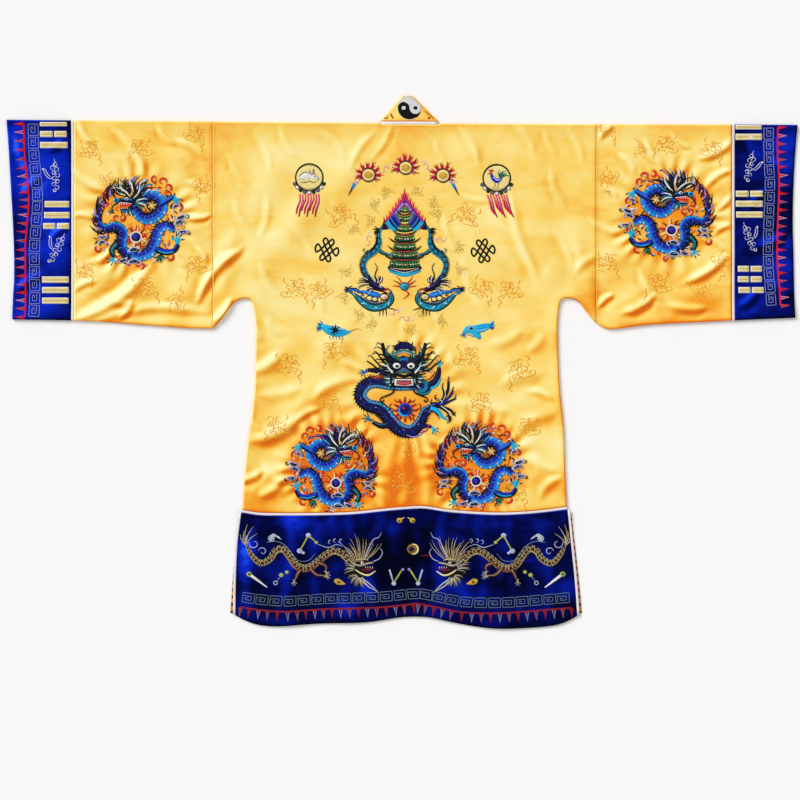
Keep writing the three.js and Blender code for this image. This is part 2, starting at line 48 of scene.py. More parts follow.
def onCloth(column, row):
    x = (column - chart["midColumn"]) * chart["square"] + chart["x"]
    y = (chart["topRow"] - row) * chart["square"] + chart["y"]
    return x, y


def meshObject(name, bm):
    mesh = bpy.data.meshes.new(name)
    bm.to_mesh(mesh)
    bm.free()
    thing = bpy.data.objects.new(name, mesh)
    scene.collection.objects.link(thing)
    return thing


def readArray(items, field, width=1, kind=np.float32):
    # one value, or a row of them, for each item of a mesh
    found = np.zeros(len(items) * width, kind)
    items.foreach_get(field, found)
    return found.reshape(-1, width) if width > 1 else found


def writeArray(items, field, values):
    items.foreach_set(field, np.asarray(values, np.float32).ravel())


# node helpers for the materials
def newMaterial(name):
    material = bpy.data.materials.new(name)
    material.use_nodes = True
    return material, material.node_tree, material.node_tree.nodes["Principled BSDF"]


def addNode(tree, kind, **settings):
    node = tree.nodes.new("ShaderNode" + kind)
    for key, value in settings.items():
        if key in node.inputs:
            if isinstance(value, bpy.types.NodeSocket):
                tree.links.new(value, node.inputs[key])
            else:
                node.inputs[key].default_value = value
        else:
            setattr(node, key, value)
    return node


def setInputs(node, values):
    for label, value in values.items():
        node.inputs[label].default_value = value


def newGroup(name, inputs, outputs):
    tree = bpy.data.node_groups.new(name, "ShaderNodeTree")
    for label, value in inputs.items():
        socket = tree.interface.new_socket(label, in_out="INPUT", socket_type="NodeSocketFloat")
        socket.default_value = value
    for label in outputs:
        tree.interface.new_socket(label, in_out="OUTPUT", socket_type="NodeSocketFloat")
    return tree, tree.nodes.new("NodeGroupInput").outputs, tree.nodes.new("NodeGroupOutput").inputs


def useGroup(tree, group, **values):
    node = tree.nodes.new("ShaderNodeGroup")
    node.node_tree = group
    setInputs(node, values)
    return node.outputs


def combine(tree, operation, a, b):
    node = addNode(tree, "Math", operation=operation)
    for socket, value in zip(node.inputs, (a, b)):
        if isinstance(value, (int, float)):
            socket.default_value = value
        else:
            tree.links.new(value, socket)
    return node.outputs[0]


weaving = {"turn": 0.7, "stretch": 2.1, "crinkleShade": 0.14, "crinkleShine": 0.5, "crinkleHeight": 0.5,
           "ribHeight": 0.012}


def makeSatinGroup():
    # soft patches of shade, crinkles and the fine ribs of a satin weave
    tree, given, out = newGroup(
        "satinWeave", {"Patches": 9.0, "Crinkles": 55.0, "Ribs": 420.0, "Swing": 0.5},
        ("Shade", "Shine", "Height"))
    place = addNode(tree, "TexCoord").outputs["Object"]
    turned = addNode(tree, "Mapping", Vector=place, Rotation=(0, 0, weaving["turn"]),
                     Scale=(1.0, weaving["stretch"], 1.0)).outputs[0]
    broad = addNode(tree, "TexNoise", Vector=turned, Scale=given["Patches"], Detail=3.0, Roughness=0.6,
                    Distortion=0.4).outputs["Fac"]
    small = addNode(tree, "TexNoise", Vector=place, Scale=given["Crinkles"], Detail=2.5, Roughness=0.6,
                    Distortion=0.9).outputs["Fac"]
    shade = combine(tree, "ADD", combine(tree, "MULTIPLY", broad, given["Swing"]),
                    combine(tree, "MULTIPLY", small, weaving["crinkleShade"]))
    tree.links.new(shade, out["Shade"])
    tree.links.new(combine(tree, "MULTIPLY", small, weaving["crinkleShine"]), out["Shine"])
    ribs = addNode(tree, "TexWave", Vector=place, Scale=given["Ribs"], Distortion=1.2, Detail=1.0,
                   bands_direction="DIAGONAL").outputs["Fac"]
    height = combine(tree, "ADD", combine(tree, "MULTIPLY", small, weaving["crinkleHeight"]),
                     combine(tree, "MULTIPLY", ribs, weaving["ribHeight"]))
    tree.links.new(height, out["Height"])
    return tree


satinWeave = makeSatinGroup()

# how every cloth takes the light, and the dark dashes of an edging
finish = {"shine": (0.15, 0.35), "sheenRoughness": 0.35, "bumpReach": 0.004, "dashEdge": 0.62,
          "dashSway": 2.5, "dashInk": (0.012, 0.01, 0.014)}


def clothMaterial(name, look):
    material, tree, shader = newMaterial(name)
    weave = useGroup(tree, satinWeave, Patches=look["patches"], Crinkles=look["crinkles"],
                     Swing=look["swing"])
    # painted highlight and shade: the satin turns pale where it leans to the light and deep in its folds
    paintedLightShade = addNode(tree, "Attribute", attribute_name="paintedLightShade").outputs["Fac"]
    lean = combine(tree, "MULTIPLY", combine(tree, "SUBTRACT", paintedLightShade, 0.5), look["lean"])
    shade = combine(tree, "ADD", combine(tree, "ADD", weave["Shade"], look["base"]), lean)
    # painted shade: darker near the side walls at the cloth's edges and seams
    rim = addNode(tree, "Attribute", attribute_name="rim").outputs["Fac"]
    shade = combine(tree, "SUBTRACT", shade, combine(tree, "MULTIPLY", rim, look["rim"]))
    place = addNode(tree, "TexCoord").outputs["Object"]
    # painted patches of light and shade, each fading out from its middle
    for column, row, reach, amount, level in look["spots"]:
        far = addNode(tree, "VectorMath", operation="DISTANCE")
        tree.links.new(place, far.inputs[0])
        far.inputs[1].default_value = (*onCloth(column, row), 0)
        near = addNode(tree, "MapRange", interpolation_type="SMOOTHSTEP", Value=far.outputs["Value"])
        reach *= chart["square"]
        setInputs(near, {"From Min": reach * level, "From Max": reach, "To Min": amount, "To Max": 0.0})
        shade = combine(tree, "ADD", shade, near.outputs[0])
    ramp = addNode(tree, "ValToRGB", Fac=shade)
    stops = ramp.color_ramp.elements
    for number, (position, tint) in enumerate(look["colours"]):
        element = stops[number] if number < 2 else stops.new(position)
        element.position = position
        element.color = (*tint, 1)
    colour = ramp.outputs["Color"]
    if "dashes" in look:
        band = addNode(tree, "TexWave", Vector=place, Scale=look["dashes"], Distortion=finish["dashSway"],
                       bands_direction="Y")
        mask = combine(tree, "GREATER_THAN", band.outputs["Fac"], finish["dashEdge"])
        mix = addNode(tree, "Mix", data_type="RGBA")
        mix.inputs[7].default_value = (*finish["dashInk"], 1)  # the second colour
        tree.links.new(mask, mix.inputs[0])
        tree.links.new(colour, mix.inputs[6])
        colour = mix.outputs[2]
    tree.links.new(colour, shader.inputs["Base Color"])
    rough = addNode(tree, "MapRange", Value=weave["Shine"])
    (dull, bright), (smooth, coarse) = finish["shine"], look["roughness"]
    setInputs(rough, {"From Min": dull, "From Max": bright, "To Min": smooth, "To Max": coarse})
    tree.links.new(rough.outputs[0], shader.inputs["Roughness"])
    bump = addNode(tree, "Bump", Height=weave["Height"], Strength=look["bump"], Distance=finish["bumpReach"])
    tree.links.new(bump.outputs[0], shader.inputs["Normal"])
    tint = (*look["glossTint"], 1)
    setInputs(shader, {"Specular IOR Level": look["gloss"], "Specular Tint": tint,
                       "Sheen Weight": look["sheen"], "Sheen Roughness": finish["sheenRoughness"],
                       "Sheen Tint": tint})
    return material


# soft patches of light and shade: column, row, reach, amount, and the share of the reach that is level
satinSpots = [
    (404, 488, 64, -0.52, 0), (404, 420, 80, -0.14, 0), (270, 330, 90, 0.12, 0), (300, 160, 110, 0.05, 0),
    (330, 445, 56, -0.18, 0), (478, 440, 56, -0.16, 0), (255, 505, 44, -0.22, 0), (552, 500, 44, -0.16, 0),
    (664, 330, 90, -0.34, 0), (668, 215, 70, -0.06, 0), (140, 322, 60, -0.12, 0), (404, 122, 60, -0.10, 0),
    (232, 308, 34, -0.26, 0), (582, 300, 30, -0.22, 0), (139, 221, 62, -0.05, 0), (280, 240, 60, 0.07, 0),
    (216, 150, 40, -0.09, 0), (596, 200, 40, -0.08, 0), (90, 300, 40, 0.06, 0), (250, 420, 60, 0.06, 0),
    (404, 250, 90, -0.06, 0), (262, 438, 22, -0.22, 0), (282, 372, 18, -0.14, 0), (610, 165, 30, -0.12, 0),
    (550, 410, 26, -0.12, 0), (700, 290, 34, -0.12, 0), (100, 262, 24, -0.10, 0), (160, 146, 22, -0.10, 0),
    (333, 468, 54, -0.36, 0.72), (479, 466, 54, -0.36, 0.72), (139.5, 221.5, 54, -0.22, 0.74),
    (668, 215, 54, -0.26, 0.74), (404, 392, 60, -0.18, 0.3),
]
blueSpots = [
    (404, 560, 66, -0.26, 0), (330, 575, 50, -0.10, 0), (243, 548, 30, 0.30, 0), (294, 522, 24, 0.34, 0),
    (362, 588, 22, 0.46, 0), (348, 610, 16, 0.34, 0), (457, 588, 24, 0.30, 0), (566, 590, 22, 0.42, 0),
    (392, 530, 14, 0.22, 0), (450, 530, 40, -0.06, 0), (350, 530, 40, -0.06, 0), (500, 560, 40, -0.10, 0),
    (10, 150, 70, 0.40, 0), (56, 200, 70, 0.32, 0), (56, 250, 40, 0.26, 0), (30, 300, 56, 0.30, 0),
    (60, 150, 36, 0.20, 0), (785, 150, 60, 0.30, 0), (740, 300, 50, 0.16, 0), (788, 260, 40, 0.24, 0),
]
trimLook = {"base": 0.0, "swing": 0.5, "lean": 0.1, "rim": 0.0, "spots": [], "roughness": (0.35, 0.5),
            "sheen": 0.1}
# each cloth: its colours run from deep to pale, for its own mottled tone and for the painted highlight and
# shade of its slopes, creases, edges and patches; lean and rim set how strongly the painted highlight and
# shade and the painted edge shade move it
looks = {
    "satin": {"colours": [(0.02, (0.84, 0.17, 0.004)), (0.21, (0.94, 0.37, 0.018)),
                          (0.43, (0.965, 0.64, 0.12)), (0.63, (0.975, 0.78, 0.27)),
                          (0.86, (0.985, 0.88, 0.46))],
              "base": 0.085, "swing": 0.72, "lean": 1.0, "rim": 0.16, "patches": 5.5, "crinkles": 26.0,
              "roughness": (0.36, 0.46), "bump": 0.35, "gloss": 0.25, "glossTint": (1.0, 0.93, 0.6),
              "sheen": 0.08, "spots": satinSpots},
    "blueSatin": {"colours": [(0.02, (0.0005, 0.0008, 0.008)), (0.2, (0.0008, 0.002, 0.055)),
                              (0.4, (0.0014, 0.007, 0.21)), (0.66, (0.003, 0.022, 0.56)),
                              (0.95, (0.02, 0.12, 1.0))],
                  "base": -0.24, "swing": 0.82, "lean": 0.9, "rim": 0.08, "patches": 9.0, "crinkles": 26.0,
                  "roughness": (0.4, 0.5), "bump": 0.4, "gloss": 0.07, "glossTint": (0.2, 0.32, 1.0),
                  "sheen": 0.0, "spots": blueSpots},
    "pipingWhite": {**trimLook, "colours": [(0.3, (0.78, 0.72, 0.74)), (0.6, (0.93, 0.91, 0.92))],
                    "patches": 30.0, "crinkles": 160.0, "bump": 0.25, "gloss": 0.5,
                    "glossTint": (1.0, 1.0, 1.0)},
    "edgingOrange": {**trimLook, "colours": [(0.3, (0.75, 0.20, 0.01)), (0.6, (0.95, 0.42, 0.03))],
                     "dashes": 19.0, "patches": 24.0, "crinkles": 120.0, "bump": 0.3, "gloss": 0.4,
                     "glossTint": (1.0, 0.9, 0.6)},
}
cloths = {name: clothMaterial(name, look) for name, look in looks.items()}

# camera, floor and light
studio = {
    "height": 4.0, "middle": (400, 400), "columns": 800, "sensor": 36.0, "clip": (0.05, 60),
    "floorColour": (0.945, 0.945, 0.95), "floorRoughness": 0.9, "floorHalf": 30, "floorDrop": 0.0004,
    "sky": (1, 0.99, 0.98), "skyStrength": 0.47,
    "key": (2.5, (-3.0, 2.9, 2.7), 0.5), "fill": (0.4, (2.6, -1.4, 3.4), 0.9),
}


def setStudio(s):
    x, y = onCloth(*s["middle"])
    camera = bpy.data.objects.new("camera", bpy.data.cameras.new("camera"))
    camera.location = (x, y, s["height"])
    camera.data.sensor_width = s["sensor"]
    camera.data.lens = s["sensor"] * s["height"] / (s["columns"] * chart["square"])
    camera.data.clip_start, camera.data.clip_end = s["clip"]
    scene.collection.objects.link(camera)
    scene.camera = camera
    for name in ("key", "fill"):
        power, place, spread = s[name]
        light = bpy.data.lights.new(name, "SUN")
        light.energy, light.angle = power, spread
        lamp = bpy.data.objects.new(name, light)
        lamp.location = place
        lamp.rotation_euler = (-Vector(place)).to_track_quat("-Z", "Y").to_euler()
        scene.collection.objects.link(lamp)
    scene.world = bpy.data.worlds.new("studio")
    scene.world.use_nodes = True
    setInputs(scene.world.node_tree.nodes["Background"],
              {"Color": (*s["sky"], 1), "Strength": s["skyStrength"]})
    scene.view_settings.view_transform = "Standard"
    bm = bmesh.new()
    bmesh.ops.create_grid(bm, x_segments=1, y_segments=1, size=s["floorHalf"])
    bmesh.ops.translate(bm, verts=bm.verts, vec=(0, 0, -s["floorDrop"]))
    floor = meshObject("floor", bm)
    material, tree, shader = newMaterial("floorPaper")
    setInputs(shader, {"Base Color": (*s["floorColour"], 1), "Roughness": s["floorRoughness"]})
    floor.data.materials.append(material)


setStudio(studio)
print("studio is set")

# creases: from one end to the other on the chart, half width and rise in millimetres
# A row with a negative rise is a trough with a soft swell on its far side.
creases = [
    # left sleeve
    (78, 123, 93, 145, 7, 2.6), (115, 130, 146, 172, 8, 2.4), (72, 166, 104, 190, 9, 2.2),
    (74, 216, 92, 219, 6, 1.6), (188, 217, 210, 215, 6, 1.8), (149, 270, 84, 318, 13, 4.0),
    (172, 252, 186, 268, 7, 1.8), (96, 321, 202, 311, 10, 2.0), (104, 296, 138, 303, 9, 1.6),
    (200, 300, 240, 252, 10, 3.2), (212, 322, 230, 300, 9, 2.6), (176, 140, 206, 158, 8, 1.6),
    (158, 128, 174, 146, 7, 1.6), (186, 182, 206, 190, 7, 1.4), (88, 262, 112, 250, 8, 1.6),
    (74, 292, 96, 282, 7, 1.8), (120, 318, 132, 300, 7, 1.6), (196, 246, 208, 262, 6, 1.5),
    # right sleeve
    (645, 141, 661, 166, 7, 2.2), (620, 154, 636, 173, 7, 2.0), (699, 158, 731, 141, 8, 2.4),
    (706, 188, 731, 171, 7, 2.0), (714, 211, 730, 196, 6, 1.7), (713, 234, 730, 224, 6, 1.6),
    (686, 283, 724, 259, 9, 2.6), (598, 306, 612, 294, 7, 2.0), (622, 312, 652, 296, 9, 2.4),
    (576, 273, 598, 257, 9, 2.6), (590, 219, 622, 233, 8, 2.2), (604, 187, 618, 196, 6, 1.5),
    (668, 306, 706, 309, 9, 1.8), (700, 238, 728, 250, 7, 1.5), (640, 270, 662, 300, 8, 1.8),
    (600, 140, 612, 128, 7, 1.7), (672, 134, 690, 148, 6, 1.5),
    # shoulders and upper back, softer ones
    (461, 128, 480, 164, 8, 2.4), (460, 197, 489, 202, 7, 1.6), (516, 126, 536, 152, 8, 2.2),
    (513, 194, 541, 278, 10, 2.8), (497, 224, 536, 284, 9, 2.2), (465, 263, 489, 314, 9, 2.2),
    (350, 168, 372, 134, 8, 2.0), (372, 160, 392, 128, 7, 1.6), (322, 132, 346, 156, 8, 1.8),
    (282, 128, 300, 158, 8, 2.0), (256, 136, 270, 170, 8, 1.8), (236, 200, 252, 232, 8, 1.6),
    (268, 196, 262, 236, 8, 1.8), (230, 160, 246, 184, 7, 1.6), (292, 226, 314, 254, 8, 1.6),
    (262, 262, 284, 300, 9, 2.0), (304, 276, 322, 312, 9, 1.8), (552, 170, 566, 206, 8, 1.8),
    (570, 132, 584, 160, 8, 1.8), (544, 132, 556, 156, 7, 1.6), (556, 232, 572, 262, 8, 1.8),
    (436, 140, 446, 160, 6, 1.4), (424, 300, 440, 330, 8, 1.5), (446, 214, 456, 250, 7, 1.4),
    (330, 198, 344, 222, 7, 1.4), (404, 318, 406, 344, 9, 1.6),
    # lower back
    (281, 355, 256, 373, 12, 2.2), (252, 439, 297, 417, 14, 3.0), (315, 398, 351, 382, 12, 1.9),
    (264, 464, 285, 480, 10, 1.9), (284, 480, 262, 497, 10, 1.9), (262, 396, 300, 390, 12, 1.5),
    (300, 326, 326, 352, 12, 1.5), (340, 346, 352, 366, 9, 1.2), (286, 334, 268, 318, 11, 1.4),
    (488, 344, 520, 330, 12, 1.2), (500, 384, 540, 372, 14, 1.4), (470, 404, 508, 412, 12, 1.0),
    (516, 428, 552, 412, 13, 1.4), (534, 456, 558, 470, 11, 1.5), (540, 498, 560, 478, 10, 1.4),
    (450, 352, 462, 372, 9, 1.1), (402, 452, 405, 508, 13, 1.2), (380, 470, 384, 508, 11, 0.9),
    (424, 462, 428, 508, 11, 0.9), (250, 412, 262, 430, 8, 1.6), (528, 392, 552, 400, 8, 1.6),
    (236, 480, 262, 470, 8, 2.0), (544, 336, 530, 352, 11, 1.2), (264, 340, 250, 328, 10, 1.4),
    (296, 420, 318, 408, 7, 1.5), (350, 440, 366, 428, 6, 1.4), (440, 452, 452, 436, 7, 1.4),
    # blue band: soft upright waves, then shorter ones
    (262, 522, 256, 612, 16, 2.6), (292, 520, 286, 606, 14, 2.0), (322, 520, 318, 600, 16, 2.8),
    (352, 520, 346, 604, 13, 1.8), (386, 520, 378, 606, 15, 2.4), (414, 520, 416, 608, 14, 2.0),
    (446, 520, 452, 606, 16, 2.8), (478, 522, 486, 602, 13, 1.8), (510, 520, 520, 606, 15, 2.6),
    (540, 522, 552, 610, 14, 2.2), (330, 556, 344, 540, 8, 1.4), (476, 560, 462, 542, 8, 1.4),
    (300, 590, 312, 606, 8, 1.4), (500, 580, 512, 560, 8, 1.5),
    # cuffs
    (16, 140, 34, 180, 10, 2.2), (22, 196, 40, 176, 9, 1.6), (20, 236, 44, 262, 10, 2.0),
    (18, 292, 46, 276, 10, 1.8), (48, 150, 62, 140, 8, 1.4), (50, 240, 66, 226, 8, 1.5),
    (746, 140, 764, 162, 9, 1.8), (748, 210, 766, 190, 9, 1.7), (756, 246, 784, 232, 10, 2.0),
    (764, 282, 788, 300, 10, 2.0), (738, 306, 756, 290, 9, 1.6), (770, 160, 790, 176, 9, 1.6),
]
roundels = {"left": (139.5, 221.5, 48), "right": (668, 215, 47), "lowerLeft": (333, 468, 45.5),
            "lowerRight": (479, 466, 45.5)}
puckers = {"count": 23, "reach": 0.022, "rise": 0.0011, "start": 0.006, "middle": (403, 396, 52)}

# how every crease is shaped: its bow, the taper at its ends, its lean, and the troughs on its two sides
creaseForm = {"bow": (-0.07, 0.09), "reach": 0.004, "runOn": 0.18, "taper": (0.5, 0.42), "thin": 0.55,
              "lean": 0.35, "far": (0.42, 1.75, 1.1), "close": (0.16, 1.9, 1.2), "soft": 0.5, "bandRow": 515,
              "softColumns": (215, 596), "softRow": 330}
millimetre = 0.001


def creaseHeight(x, y):
    form = creaseForm
    total = np.zeros(len(x))
    for number, (c1, r1, c2, r2, width, rise) in enumerate(creases):
        x1, y1 = onCloth(c1, r1)
        x2, y2 = onCloth(c2, r2)
        long = math.hypot(x2 - x1, y2 - y1)
        ux, uy = (x2 - x1) / long, (y2 - y1) / long
        along = ((x - x1) * ux + (y - y1) * uy) / long
        # a crease bows a little, and its foot is steeper on one side
        bow = form["bow"][number % 2] * long * np.clip(along, 0, 1) * (1 - np.clip(along, 0, 1)) * 4
        side = (x - x1) * -uy + (y - y1) * ux - bow
        near = np.abs(side) < width * form["reach"]
        ends = np.clip((along + form["runOn"]) / form["taper"][0], 0, 1)
        ends *= np.clip((1 + form["runOn"] - along) / form["taper"][1], 0, 1)
        ends = ends * ends * (3 - 2 * ends)
        half = width * millimetre * (form["thin"] + (1 - form["thin"]) * ends)
        lean = side / half + (form["lean"] if number % 3 else -form["lean"])
        shape = np.exp(-lean * lean)
        for (deep, place, spread), way in ((form["far"], 1), (form["close"], -1)):
            shape = shape - deep * np.exp(-((lean + way * place) / spread) ** 2)
        first, last = form["softColumns"]
        if r1 > form["bandRow"] or (first < c1 < last and r1 < form["softRow"]):
            rise *= form["soft"]
        total += np.where(near, shape * ends * rise * millimetre, 0)
    for number, (column, row, radius) in enumerate([*roundels.values(), puckers["middle"]]):
        cx, cy = onCloth(column, row)
        away = np.hypot(x - cx, y - cy) - radius * chart["square"]
        angle = np.arctan2(y - cy, x - cx)
        ripple = np.sin(angle * puckers["count"] + 2.0 * np.sin(angle * 3 + number))
        ripple *= 0.6 + 0.4 * np.sin(angle * 5 + number * 2)
        total += ripple * puckers["rise"] * np.exp(-((away - puckers["start"]) / puckers["reach"]) ** 2)
    return total


# cloth: every solid's own form, made finer and creased above the height where the layer sets in
# the slope to the key light and the rise of the creases are painted into the colour as highlight and shade;
# rimReach: how far the painted shade at edges and seams reaches
tailoring = {"merge": 2e-5, "sharp": math.radians(42), "join": (math.radians(50), math.radians(70)),
             "layer": (0.0016, 0.0024), "rest": 0.0018, "rise": 1.3, "face": 1.0, "height": 50.0,
             "facing": 0.3, "wall": 0.35, "floor": 0.0005, "rimReach": 0.0075}


def finer(node):
    bm = bmesh.new()
    bm.from_mesh(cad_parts[node].data)
    bmesh.ops.remove_doubles(bm, verts=bm.verts, dist=tailoring["merge"])
    flat, square = tailoring["join"]
    bmesh.ops.join_triangles(bm, faces=bm.faces, angle_face_threshold=flat, angle_shape_threshold=square)
    rim = bm.edges.layers.float.new("crease_edge")
    for edge in bm.edges:
        if len(edge.link_faces) == 2 and edge.calc_face_angle() > tailoring["sharp"]:
            edge[rim] = 1.0
    return meshObject(node + "_cloth", bm)


def applied(thing):
    tree = bpy.context.evaluated_depsgraph_get()
    mesh = bpy.data.meshes.new_from_object(thing.evaluated_get(tree))
    thing.modifiers.clear()
    old, thing.data = thing.data, mesh
    bpy.data.meshes.remove(old)


def finerTop(mesh):
    # the faces that look up are cut once more, and their corners evened out
    high, facing = tailoring["layer"][1], tailoring["facing"]
    bm = bmesh.new()
    bm.from_mesh(mesh)
    top = {f for f in bm.faces if f.normal.z > facing and f.calc_center_median().z > high}
    inner = [e for e in bm.edges if all(f in top for f in e.link_faces)]
    bmesh.ops.subdivide_edges(bm, edges=inner, cuts=1, use_grid_fill=True)
    bm.normal_update()
    level = [v for v in bm.verts if v.co.z > high and all(f.normal.z > facing for f in v.link_faces)]
    bmesh.ops.smooth_vert(bm, verts=level, factor=0.5, use_axis_z=True)
    bm.to_mesh(mesh)
    bm.free()


def sewCloth(node, cloth, smooth=2, upper=True):
    thing = finer(node)
    divide = thing.modifiers.new("Subdivision", "SUBSURF")
    divide.levels = divide.render_levels = smooth
    applied(thing)
    mesh = thing.data
    if upper:
        finerTop(mesh)
    points = readArray(mesh.vertices, "co", 3).astype(float)
    low, high = tailoring["layer"]
    share = np.clip((points[:, 2] - low) / (high - low), 0, 1)
    crease = creaseHeight(points[:, 0], points[:, 1]) * share * tailoring["rise"]
    lifted = points[:, 2] + crease
    points[:, 2] = np.where(share > 0, np.maximum(lifted, np.minimum(points[:, 2], tailoring["rest"])),
                            points[:, 2])
    writeArray(mesh.vertices, "co", points)
    mesh.materials.clear()
    mesh.materials.append(cloths[cloth])
    mesh.shade_smooth()
    mesh.update()
    # painted highlight and shade from how far the cloth leans to the key light and rises; rim: painted shade
    # from how near it is to a side wall, at its edges and seams
    normals = readArray(mesh.vertex_normals, "vector", 3)
    facing = (normals[:, 1] - normals[:, 0]) * tailoring["face"] * np.clip(normals[:, 2] * 3 - 1.6, 0, 1)
    paintedLightShade = np.clip(0.5 + facing + crease * tailoring["height"], 0, 1)
    writeArray(mesh.attributes.new("paintedLightShade", "FLOAT", "POINT").data, "value", paintedLightShade)
    wall, bottom = tailoring["wall"], tailoring["floor"]
    steep = [p for p in mesh.polygons if abs(p.normal.z) < wall and p.center.z > bottom]
    walls = {i for p in steep for i in p.vertices}
    rims = [mesh.vertices[i].co for i in walls]
    near = KDTree(len(rims))
    for number, place in enumerate(rims):
        near.insert(place, number)
    near.balance()
    away = [near.find(v.co)[2] if rims and n[2] > 0 else 0 for v, n in zip(mesh.vertices, normals)]
    rim = np.exp(-(np.array(away) / tailoring["rimReach"]) ** 2)
    writeArray(mesh.attributes.new("rim", "FLOAT", "POINT").data, "value", rim)
    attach(thing, "root")
    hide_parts(node)
    return thing


# slot: cloth, times it is divided, whether it is cut finer on top, and its pieces
sewing = {
    "satin": ("satin", 2, True, ("back", "front_left", "front_right", "sleeve_left",
                                 "sleeve_right", "collar")),
    "blue_satin": ("blueSatin", 2, True, ("cuff_left", "cuff_right", "hem_band_back", "hem_band_front_left",
                                          "hem_band_front_right")),
    "piping": ("pipingWhite", 1, False, ("cuff_piping_left", "cuff_piping_right", "neck_piping",
                                         "hem_piping_back", "hem_piping_front_left", "hem_piping_front_right",
                                         "vent_piping_left", "vent_piping_right")),
    "edging": ("edgingOrange", 1, False, ("vent_edging_left", "vent_edging_right")),
}
sewn = {node: sewCloth(node, cloth, smooth, upper)
        for slot, (cloth, smooth, upper, nodes) in sewing.items() for node in nodes}
for node, thing in sewn.items():
    print(node, len(thing.data.polygons), sum(len(p.vertices) - 2 for p in thing.data.polygons))
print("cloth is cut")

# embroidery: flat strokes of thread, charted in squares and laid on the cloth
threads = {
    "black": (8, 6, 14), "navy": (12, 14, 84), "royal": (24, 48, 196), "blue": (34, 116, 228),
    "cyan": (24, 190, 236), "azure": (36, 152, 238), "teal": (22, 132, 142), "green": (34, 116, 56),
    "darkGreen": (16, 58, 40), "lime": (176, 186, 92), "white": (246, 244, 242), "cream": (250, 232, 172),
    "gold": (224, 172, 56), "darkGold": (150, 106, 34), "amber": (255, 166, 34), "honey": (222, 128, 30),
    "orange": (240, 108, 22), "red": (224, 22, 28), "crimson": (140, 12, 34), "scarlet": (244, 30, 62),
    "magenta": (214, 30, 118), "pink": (240, 172, 194), "purple": (92, 40, 150), "violet": (168, 140, 222),
    "silver": (188, 198, 214), "rust": (128, 52, 34), "steel": (96, 108, 150), "pewter": (104, 126, 146),
    "haze": (140, 152, 206), "dimRed": (150, 24, 44), "dimPink": (150, 104, 136), "straw": (255, 232, 150),
    "olive": (196, 164, 62), "cord": (66, 26, 20), "lilac": (196, 196, 240), "flame": (230, 74, 22),
    "coral": (214, 92, 96), "leaf": (52, 140, 62), "bar": (240, 216, 142), "tan": (255, 192, 62),
    "bone": (178, 168, 138), "sand": (206, 188, 118), }
threadNames = list(threads)
# steps in squares; in metres: what a layer stands over the last, how proud a thread is, how deep its foot
stitching = {"step": 1.7, "straightStep": 2.0, "taper": 0.55, "lift": 0.0002, "crown": 0.00032,
             "crownReach": 0.0008, "sink": 0.00012, "shoulder": 0.74, "above": 0.05, "start": 0.005,
             "merge": 2e-7}


def rounded(points, closed, step):
    # a smooth path through a few points, as an array
    p = np.array(points, float)
    count = len(p)
    if count < 3:
        return p
    found = []
    for i in range(count if closed else count - 1):
        a, b = p[i], p[(i + 1) % count]
        before = p[(i - 1) % count] if closed or i else 2 * a - b
        after = p[(i + 2) % count] if closed or i + 2 < count else 2 * b - a
        parts = max(1, int(math.ceil(math.hypot(*(b - a)) / step)))
        t = (np.arange(parts) / parts)[:, None]
        found.append(0.5 * (2 * a + (b - before) * t + (2 * before - 5 * a + 4 * b - after) * t ** 2
                            + (3 * a - before - 3 * b + after) * t ** 3))
    if not closed:
        found.append(p[-1:])
    return np.concatenate(found)


def along(points, step):
    # evenly spaced spots on a smooth path: place, direction, side and share of the length
    p = rounded(points, False, 1.0)
    gaps = np.hypot(*np.diff(p, axis=0).T)
    total = np.concatenate([[0], np.cumsum(gaps)])
    count = max(2, int(total[-1] / step) + 1)
    spots = []
    for s in np.linspace(0, total[-1], count):
        i = min(np.searchsorted(total, s, side="right"), len(p) - 1)
        way = (p[i] - p[i - 1]) / max(gaps[i - 1], 1e-9)
        spots.append((p[i - 1] + way * (s - total[i - 1]), way, np.array((-way[1], way[0])), s / total[-1]))
    return spots


